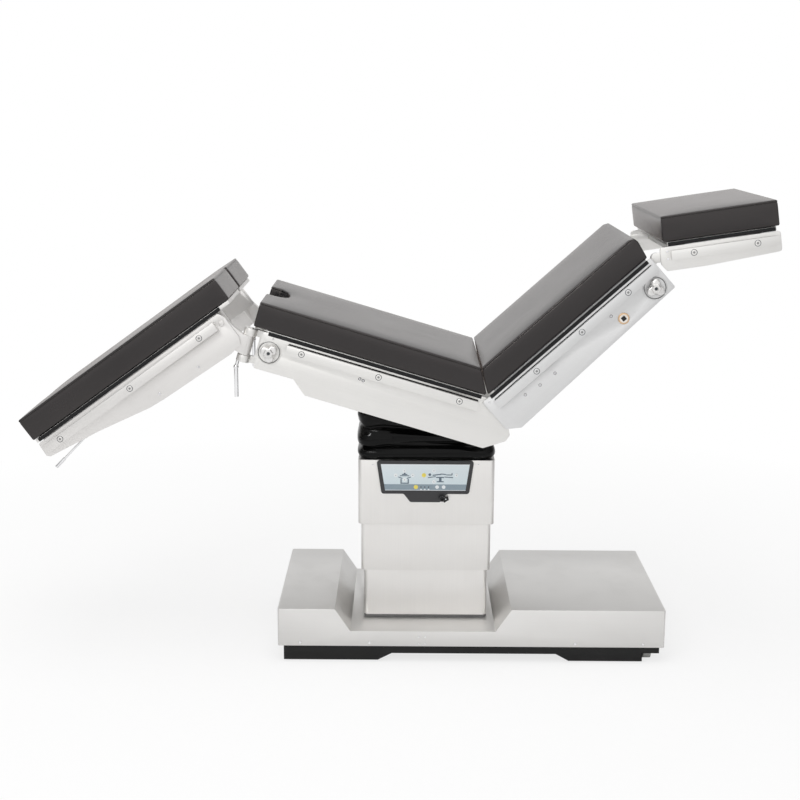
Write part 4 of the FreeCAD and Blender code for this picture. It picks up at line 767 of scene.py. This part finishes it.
folded_skin, skin_sockets = bellows_rule()
SPLIT = 0.607
seat_tan = math.tan(seat.slope)
hinge_height = joints["long_tilt"]["pos_m"][2]
plate_height = hinge_height + 0.120 / math.cos(seat.slope)
HALVES = {
    "bellows_lower": {"Low height": 0.5562, "High height": SPLIT, "Folds": 1.0, "Start fold": 0.0},
    "bellows_upper": {"Low height": SPLIT, "High height": plate_height, "High slope": seat_tan,
                      "Folds": 3.0, "Start fold": 1.0},
}
for node, values in HALVES.items():
    mesh = by_rule(node, folded_skin, skin_sockets, values | {"Finish": bellows_finish})
    made = piece(node + "_skin", outward(mesh), None, None, 180)
    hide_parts(node)
    if node == "bellows_lower":
        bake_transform(made)
    else:
        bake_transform(made)
    print(made.name, len(made.data.polygons), "faces")

# %% [markdown]
# ## Screws and rivets
# Every fastener is the same idea at another size: a low head with a broken edge and a hexagon
# recess. A Geometry Nodes tree builds one head, sets it on each point of a small mesh and turns
# it to the direction stored on that point. Each group of screws on a body is one mesh.

# %% Fastener tree


def fastener_tree():
    numbers = (("Radius", 0.005), ("Height", 0.002), ("Recess", 0.5))
    tree, value, identifiers = open_rule("screw_heads", numbers, takes_mesh=True)
    radius, height = value["Radius"], value["Height"]
    head = tree.node("GeometryNodeMeshCone", None, {"Vertices": 28, "Radius Top": radius * 0.86,
                                                     "Radius Bottom": radius, "Depth": height})
    key = tree.node("GeometryNodeMeshCone", None, {"Vertices": 6, "Radius Top": radius * value["Recess"],
                                                    "Radius Bottom": radius * value["Recess"],
                                                    "Depth": height})
    lifted = tree.node("GeometryNodeTransform", None,
                       {"Geometry": key, "Translation": tree.combine(0.0, 0.0, height * 0.45)})
    cut = tree.node("GeometryNodeMeshBoolean", {"operation": "DIFFERENCE"}, {0: head, 1: lifted})
    turn = tree.node("GeometryNodeInputNamedAttribute", {"data_type": "FLOAT_VECTOR"}, {"Name": "turn"})
    spread = tree.node("GeometryNodeInstanceOnPoints", None,
                       {"Points": value["Geometry"], "Instance": cut, "Rotation": turn})
    close_rule(tree, spread, value["Finish"])
    return tree.tree, identifiers


def screws(name, body, places, radius, height, finish=chrome_finish, recess=0.5):
    """Screw heads at the places, each a point and the direction that its head faces."""
    mesh = bpy.data.meshes.new(name)
    mesh.from_pydata([tuple(point) for point, _ in places], [], [])
    turns = mesh.attributes.new("turn", "FLOAT_VECTOR", "POINT")
    for index, (_, facing) in enumerate(places):
        turns.data[index].vector = Vector(facing).to_track_quat("Z", "Y").to_euler()
    made = by_rule(name, screw_tree, screw_sockets,
                   {"Radius": radius * MM, "Height": height * MM, "Recess": recess, "Finish": finish}, mesh)
    return piece(name, made, None, body)


screw_tree, screw_sockets = fastener_tree()
FRONT, REAR = (0, -1, 0), (0, 1, 0)


def both(section, spots, across):
    """The same spots on the front and the rear face."""
    places = [(section.point(along, -across, above), FRONT) for along, above in spots]
    return places + [(section.point(along, across, above), REAR) for along, above in spots]


# %% Set the screws
RAIL_FACE = 278.2


def rail_caps(name, body, places, finish):
    """A flush cap: a bright head in the middle of a narrow dark ring of painted shade, with a grey disc of painted
    shade in its recess.
    """
    screws(name + "_rings", body, places, 8.6, 0.3, dark_lens_and_shade, 0.1)
    screws(name, body, places, 7.5, 0.9, finish, 0.5)
    screws(name + "_sockets", body, places, 3.4, 0.5, grey_shade_paint, 0.1)


for name, section, spots, finish in (
        ("seat", seat, [(-400, 164.5), (-186, 164.5), (40, 164.5)], seat_steel),
        ("back", back, [(152, -17.5), (310, -17.5), (469, -17.5)], back_steel),
        ("head", head, [(95, 5), (262, 5)], head_steel)):
    rail_caps(name + "_rail_caps", name, both(section, spots, RAIL_FACE), finish)
for side, facing in (("front", -1), ("rear", 1)):
    spots = [(leg.point(along, facing * RAIL_FACE, 4.5), (0, facing, 0)) for along in (-538, -300, -67)]
    rail_caps(f"leg_rail_caps_{side}", "leg_" + side, spots, leg_steel)
    spots = [(leg.point(along, facing * 252.4, above), (0, facing, 0))
             for along, above in ((0, 0), (-585, 8), (-120, -58), (-250, -55))]
    screws(f"leg_plate_screws_{side}", "leg_" + side, spots, 4.2, 1.0)
# The dark rings round the seat plate screws and the grey rings round the back plate screws are painted shade round
# their heads.
screws("seat_plate_shade_rings", "seat", both(seat, [(-232, 141), (-222, 139)], 252.2), 4.2, 0.3,
       dark_lens_and_shade, 0.1)
screws("back_plate_shade_rings", "back", both(back, [(184, -58), (133, -56), (86, -50), (395, -40)], 259.2),
       4.4, 0.3, grey_shade_paint, 0.1)
screws("seat_plate_screws", "seat", both(seat, [(-232, 141), (-222, 139), (-484, 178)], 252.4),
       3.0, 0.9)
screws("back_plate_screws", "back",
       both(back, [(184, -58), (133, -56), (86, -50), (0, 0), (395, -40)], 259.4), 3.4, 0.9)
screws("blanking_plug", "back", [(back.point(416, 259.2, -67), REAR)], 17.5, 1.6,
       back_steel, 0.1)
screws("head_plate_screws", "head", both(head, [(30, -6), (30, 14)], 252.4), 3.6, 1.0)
COLUMN_FACE = -170.4
BASE_FACE = -0.2699
screws("column_screws", "column", [(Vector((x * MM, COLUMN_FACE * MM, z * MM)), FRONT)
                                   for x, z in ((-149.4, 542.6), (143.9, 544.3))], 2.6, 0.8)
base_spots = [(Vector((x * MM, BASE_FACE, 0.057)), FRONT) for x in (-349, -156, 416, 604)]
base_spots += [(Vector((spot.x, -spot.y, spot.z)), REAR) for spot, _ in base_spots]
screws("base_screws", "base", base_spots, 4.0, 1.0)
rivets = [(Vector((x * MM, BASE_FACE, z * MM)), FRONT)
          for x, z in ((-19, 75), (-1, 75), (-19, 55), (-1, 55))]
screws("base_rivets", "base", rivets, 2.4, 1.2, chrome_finish, 0.2)
print("fasteners are set")

# %% [markdown]
# ## Lobed knobs
# A clamp knob is a cast trefoil that fits three fingers, with a round hub and a hexagon recess.
# Its outline is a circle whose radius swells three times, lofted through a few heights so that
# the rim is rolled over.

# %% Knob maker


def ring_of(section, along, above, across, facing, radius_at, count=72):
    """A closed loop of points in the plane across the table."""
    loop = []
    for step in range(count):
        angle = 2 * math.pi * step / count
        radius = radius_at(angle)
        loop.append(section.point(along + radius * math.cos(angle), facing * across,
                                  above + radius * math.sin(angle)))
    return loop


def lofted(loops, close_start=True, close_end=True):
    """A skin through a row of loops of the same length."""
    work = bmesh.new()
    rows = [[work.verts.new(point) for point in loop] for loop in loops]
    count = len(rows[0])
    for first, second in zip(rows, rows[1:]):
        for step in range(count):
            following = (step + 1) % count
            work.faces.new((first[step], first[following], second[following], second[step]))
    if close_start:
        work.faces.new(rows[0])
    if close_end:
        work.faces.new(rows[-1])
    bmesh.ops.recalc_face_normals(work, faces=work.faces)
    return written(work, bpy.data.meshes.new("loft"))


def trefoil(size, lobe, turn):
    return lambda angle: size + lobe * math.cos(3 * (angle - turn)) - 0.8 * math.cos(6 * (angle - turn))


def knob(node, section, along, above, face, facing, turn=0.9):
    """Trefoil rim, hub and hexagon recess in one closed skin."""
    levels = [(0.4, 11, 0), (5.0, 11, 0), (6.0, 17, 3.4), (8.0, 20.5, 5.2), (17.0, 20.5, 5.6),
              (20.0, 18.6, 5.0), (21.0, 15.6, 3.6), (21.3, 12.6, 0.4), (24.0, 11.8, 0), (25.6, 10.6, 0),
              (25.8, 8.2, 0)]
    loops = [ring_of(section, along, above, face + height, facing, trefoil(size, lobe, turn))
             for height, size, lobe in levels]
    hexagon = lambda angle: 5.2 / math.cos((angle % (math.pi / 3)) - math.pi / 6)
    loops.append(ring_of(section, along, above, face + 25.6, facing, hexagon))
    loops.append(ring_of(section, along, above, face + 19.6, facing, hexagon))
    made = piece(node + "_cast", lofted(loops), knob_finish, body_of[node], 40)
    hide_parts(node)
    return made


def cup(name, section, along, above, face, facing, body, finish, radius=31):
    """Raised rim on the side plate that shields a knob, open towards the top."""
    loops = []
    for step in range(49):
        angle = math.radians(130 + 280 * step / 48)
        thick = 1.6 * min(1.0, 0.3 + min(step, 48 - step) / 4)
        middle = Vector((math.cos(angle), 0, math.sin(angle)))
        loop = []
        for turn in range(10):
            swing = 2 * math.pi * turn / 10
            reach = radius + thick * math.cos(swing)
            loop.append(section.point(along + reach * middle.x, facing * (face + 1.2 + 1.6 * math.sin(swing)),
                                      above + reach * middle.z))
        loops.append(loop)
    made = piece(name, lofted(loops), finish, body)
    # A low grey ring inside the rim is painted shade that draws a groove.
    groove = [ring_of(section, along, above, face + height, facing, lambda angle, size=size: size)
              for height, size in ((0.15, radius - 3.6), (0.5, radius - 2.6), (0.15, radius - 1.5))]
    groove_shade_band = outward(lofted(groove + groove[:1], False, False))
    piece(name + "_groove_shade", groove_shade_band, grey_shade_paint, body)
    return made


KNOBS = (("seat", seat, -485, 140, 252, 271.7, seat_steel), ("back", back, 530, -59, 259, 278.7, back_steel))
for side, facing in (("front", -1), ("rear", 1)):
    for name, section, along, above, face, recess_floor, finish in KNOBS:
        knob(f"{name}_knob_{side}", section, along, above, face, facing)
        # A dark disc on the floor of each knob's hexagon recess is painted shade.
        screws(f"{name}_knob_bolt_{side}", f"knob_{name}_{side}",
               [(section.point(along, facing * recess_floor, above), (0, facing, 0))], 4.4, 0.5,
               dark_lens_and_shade, 0.1)
        cup(f"{name}_knob_rim_{side}", section, along, above, face, facing, name, finish)
print("knobs:", 4)

# %% [markdown]
# ## Keypad
# The keys are domes under the film, so they show as low round buttons with a groove round them.
# The little pictures beside them, a table from its end and from its side, are plain bars and discs of
# ink that stand a tenth of a millimetre proud.

# %% Keypad pieces
FILM_FACE = -177.6


def stamped(name, shapes, finish, body, face=FILM_FACE, proud=0.15, rounding=0.0):
    """Flat shapes in the keypad's plane, each a list of corners in millimetres, given a thickness."""
    work = bmesh.new()
    for corners in shapes:
        front = [work.verts.new((x * MM, (face - proud) * MM, z * MM)) for x, z in corners]
        rear = [work.verts.new((x * MM, face * MM, z * MM)) for x, z in corners]
        count = len(corners)
        work.faces.new(front)
        work.faces.new(rear[::-1])
        for step in range(count):
            following = (step + 1) % count
            work.faces.new((front[step], rear[step], rear[following], front[following]))
    bmesh.ops.recalc_face_normals(work, faces=work.faces)
    return piece(name, written(work, bpy.data.meshes.new(name)), finish, body)


def disc(x, z, radius, count=28):
    angles = [2 * math.pi * step / count for step in range(count)]
    return [(x + radius * math.cos(angle), z + radius * math.sin(angle)) for angle in angles]


def bar(x, z, length, height, lean=0.0):
    cosine, sine = math.cos(math.radians(lean)), math.sin(math.radians(lean))
    corners = [(-length / 2, -height / 2), (length / 2, -height / 2), (length / 2, height / 2),
               (-length / 2, height / 2)]
    return [(x + a * cosine - b * sine, z + a * sine + b * cosine) for a, b in corners]


DOME = ((1.0, 0.0), (1.0, 0.35), (0.94, 0.55), (0.86, 0.5), (0.6, 0.72), (0.25, 0.85))


def domes(name, spots, radius, finish):
    """Round keys with a low crown and a groove round them, through shares of the radius and heights."""
    meshes = []
    for x, z in spots:
        loops = [[Vector((px * MM, (FILM_FACE - high) * MM, pz * MM))
                  for px, pz in disc(x, z, radius * share)] for share, high in DOME]
        meshes.append(lofted(loops))
    work = bmesh.new()
    for mesh in meshes:
        work.from_mesh(mesh)
    return piece(name, written(work, bpy.data.meshes.new(name)), finish, "column")


WHITE_SPOTS = [(-61.3, 527.3), (-85.1, 514.4), (-37.9, 514.6), (-60.6, 501.5), (20.6, 527.8), (83.2, 515.3),
               (20.9, 496.2), (29.9, 481.0), (48.0, 481.1)]
YELLOW_SPOTS = [(-7.1, 514.8), (-29.3, 480.7)]
white_domes = domes("white_keys", WHITE_SPOTS, 5.2, white_key)
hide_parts("panel_keys")
domes("yellow_keys", YELLOW_SPOTS, 6.0, yellow_key)
LAMPS = (-14.9, -4.4, 6.0)
stamped("lamp_lenses", [disc(x, 480.8, 1.8) for x in LAMPS], dark_lens_and_shade, "column")
stamped("lamp_marks", [bar(x, 473.9, 4.6, 2.6) for x in LAMPS], white_key, "column")
arrows = [[(x - 1.5, z - 1.0), (x + 1.5, z - 1.0), (x, z + 1.4)] for x, z in WHITE_SPOTS[:7]]
stamped("key_arrows", arrows, dark_ink, "column", FILM_FACE - 0.6, 0.3)
end_view = [bar(-60.6, 513.0, 26, 2.4), bar(-60.6, 516.6, 15, 2.8), disc(-60.6, 519.4, 2.6),
            bar(-72.5, 507.5, 12, 2.4, -20), bar(-49, 507.5, 12, 2.4, 20), bar(-70.5, 497.5, 3.4, 13),
            bar(-50.5, 497.5, 3.4, 13), bar(-60.6, 491.6, 23, 3.0)]
side_view = [disc(9.3, 516.6, 3.9), bar(29, 516.2, 24, 3.2, 8), bar(47, 518, 15, 2.8, -6),
             bar(63, 516, 16, 2.6), bar(71, 518.6, 2.6, 6), bar(15, 509.6, 22, 2.4, 8),
             bar(38, 508.8, 22, 3.2), bar(62, 509.2, 24, 2.6, -4), bar(38.5, 502.6, 7, 9.6),
             bar(38.5, 496.4, 19, 3.0)]
stamped("table_pictures", end_view + side_view, dark_ink, "column")
print("keypad pieces:", 6)

# %% [markdown]
# ## Small things on the sections
# A rubber cap hangs at the cable socket and carries a white patch of painted highlight, a dark
# disc of painted shade fills the socket's opening, the crank's bush has a square hole drawn as a
# dark block of painted shade, and black strips of painted shade lie along the upper edges of the
# side plates, where the cushions rest on them, and in the slots between plates and rails.

# %% Strips of painted shade under the cushions and behind the rails


def strip(name, section, along, above, across, body, finish=shade_strip_finish, sides=(-1, 1)):
    """A thin straight strip on the side plates, between two limits along, above and across."""
    work = bmesh.new()
    for facing in sides:
        corners = [work.verts.new(section.point(a, facing * c, b))
                   for a in along for b in above for c in across]
        for face in ((0, 1, 3, 2), (4, 6, 7, 5), (0, 4, 5, 1), (2, 3, 7, 6), (0, 2, 6, 4), (1, 5, 7, 3)):
            work.faces.new([corners[index] for index in face])
    bmesh.ops.recalc_face_normals(work, faces=work.faces)
    bmesh.ops.bevel(work, geom=work.edges[:], offset=0.0006, segments=2, affect="EDGES")
    return piece(name, written(work, bpy.data.meshes.new(name)), finish, body)


# Black strips of painted shade along the plates' upper edges, under the cushions' edges.
strip("seat_edge_shade", seat, (-500, 96), (183, 193.4), (250.6, 253.4), "seat")
# A thin dark strip in the slot between plate and rail is painted shade.
strip("seat_rail_gap_shade", seat, (-440, 90), (172, 178), (252.0, 253.0), "seat")
strip("back_edge_shade", back, (12, 560), (1.5, 11.4), (256.6, 260.4), "back")
# A thin dark strip in the slot between plate and rail is painted shade.
strip("back_rail_gap_shade", back, (16, 560), (-10, -4), (259.0, 260.0), "back")
strip("head_edge_shade", head, (34, 318), (27, 37.0), (246.6, 252.0), "head")
for side, facing in (("front", -1), ("rear", 1)):
    strip(f"leg_edge_shade_{side}", leg, (-596, 20), (29.6, 39.4), (246.4, 252.8), "leg_" + side,
          sides=(facing,))

# %% Small things
# A dark disc of painted shade fills the cable socket's opening.
plug = [Vector((x * MM, 0, z * MM)) for x, z in disc(44, 449, 5.2)]
plug_loops = [[Vector((point.x, -0.1810 + step, point.z)) for point in plug] for step in (0.0, 0.0045)]
piece("socket_hole_shade", lofted(plug_loops), hole_shadow_paint, "column")
cap_corners = [(41.5, 447.2), (50.6, 436.6), (55.0, 440.2), (63.2, 444.6), (60.4, 455.4), (54.5, 451.4)]
stamped("socket_cap", [cap_corners], casting_finish, "column", -178.2, 3.0)
# A small white patch on the cap is a painted highlight.
stamped("socket_cap_painted_highlight", [[(51.6, 447.6), (54.2, 449.6), (56.6, 446.6), (54.4, 445.0)]], white_key,
        "column", -181.3, 0.15)
# The crank's square hole is a dark block of painted shade.
SQUARE = 5.3
hole = [back.point(416 + dx * SQUARE, -252.5, -67 + dz * SQUARE)
        for dx, dz in ((-1, -1), (1, -1), (1, 1), (-1, 1))]
hole_loops = [hole, [point + Vector((0, -0.0100, 0)) for point in hole]]
piece("crank_shadow", lofted(hole_loops), hole_shadow_paint, "crank")
print("small things:", 4)

# %% [markdown]
# ## Floor, light and camera
# The table stands on a plain pale floor in a white room. To the camera the room is plain white.
# In reflections it is a photo studio: brightest behind the camera, softer overhead and behind the
# table, and dark at both sides, because steel shows its edges only where it mirrors something
# darker. The floor takes the table's shadow and fades to the room's white further out.

# %% Floor and room


def floor_finish():
    paint = Finish("pale_floor")
    x, y, _ = paint.separate(paint.place)
    far = (((x * x + y * y).power(0.5) - 1.0) / 1.6).minimum(1).maximum(0)
    speck = paint.noise(30, 3)
    surface = paint.node("ShaderNodeBsdfDiffuse", None,
                         {"Color": paint.blend(speck, (0.93, 0.93, 0.93), (0.95, 0.95, 0.95))})
    glow = paint.node("ShaderNodeEmission", None, {"Color": (1, 1, 1, 1), "Strength": 1.0})
    ray = paint.node("ShaderNodeLightPath", output="Is Camera Ray")
    share = (far * 0.25 + 0.75) * ray
    paint.node_output(paint.node("ShaderNodeMixShader", None, {0: share, 1: surface, 2: glow}))
    return paint.material


floor_mesh = bpy.data.meshes.new("floor")
reach = 9.0
floor_mesh.from_pydata([(-reach, -reach, 0), (reach, -reach, 0), (reach, reach, 0), (-reach, reach, 0)], [],
                       [(0, 1, 2, 3)])
floor = loose(floor_mesh, "floor")
floor_mesh.materials.append(floor_finish())

world = bpy.data.worlds.new("white_room")
bpy.context.scene.world = world
world.use_nodes = True
world.node_tree.nodes.clear()
room = Tree(world.node_tree)
path = world.node_tree.nodes.new("ShaderNodeLightPath")
seen = Wire(room, path.outputs["Is Camera Ray"])
mirrored = Wire(room, path.outputs["Is Glossy Ray"]).maximum(Wire(room, path.outputs["Is Transmission Ray"]))
ROOM_LIGHT = 0.62
side, depth, up = room.separate(room.node("ShaderNodeTexCoord"))
front = (depth * -1.6).maximum(0).minimum(1)
walls = (abs(side) * 1.6 - 0.6).maximum(0).minimum(1)
ceiling = (up * 1.6 - 0.55).maximum(0).minimum(1)
studio = (front * 0.14 + 0.90) * (1 - walls * 0.62) * (1 - ceiling * 0.45)
strength = seen.maximum((1 - seen) * (mirrored * studio + (1 - mirrored) * ROOM_LIGHT))
shade = room.node("ShaderNodeBackground", None, {"Color": (1, 1, 1, 1), "Strength": strength})
room_out = world.node_tree.nodes.new("ShaderNodeOutputWorld")
world.node_tree.links.new(shade.socket, room_out.inputs["Surface"])
print("room light", ROOM_LIGHT)

# %% Lamps


def soft_lamp(name, place, aim, size, power):
    lamp = bpy.data.lights.new(name, "AREA")
    lamp.shape = "RECTANGLE"
    lamp.size, lamp.size_y = size
    lamp.energy = power
    thing = loose(lamp, name)
    thing.location = place
    thing.rotation_euler = (Vector(aim) - Vector(place)).to_track_quat("-Z", "Y").to_euler()
    return thing


soft_lamp("top_lamp", (-0.4, -0.8, 4.2), (0, 0, 0.6), (3.5, 3.0), 62)
soft_lamp("strip_lamp", (-1.7, -3.2, 3.1), (0, 0, 0.6), (1.5, 0.12), 26)
print("lamps:", 2)

# %% Camera
PITCH = math.radians(11.93)
YAW = math.radians(-0.24)
ROLL = math.radians(0.27)
ahead = Vector((math.sin(YAW) * math.cos(PITCH), math.cos(YAW) * math.cos(PITCH), -math.sin(PITCH)))
level = Vector((math.cos(YAW), -math.sin(YAW), 0))
upward = level.cross(ahead)
right = level * math.cos(ROLL) + upward * math.sin(ROLL)
top = upward * math.cos(ROLL) - level * math.sin(ROLL)
camera = loose(bpy.data.cameras.new("camera"), "camera")
pose = Matrix((right, top, -ahead)).transposed().to_4x4()
pose.translation = (-0.0586, -3.9767, 1.5308)
camera.matrix_world = pose
camera.data.sensor_width = 36
camera.data.lens = 63.6
bpy.context.scene.camera = camera
bpy.context.scene.view_settings.view_transform = "Standard"
print("camera lens", camera.data.lens)
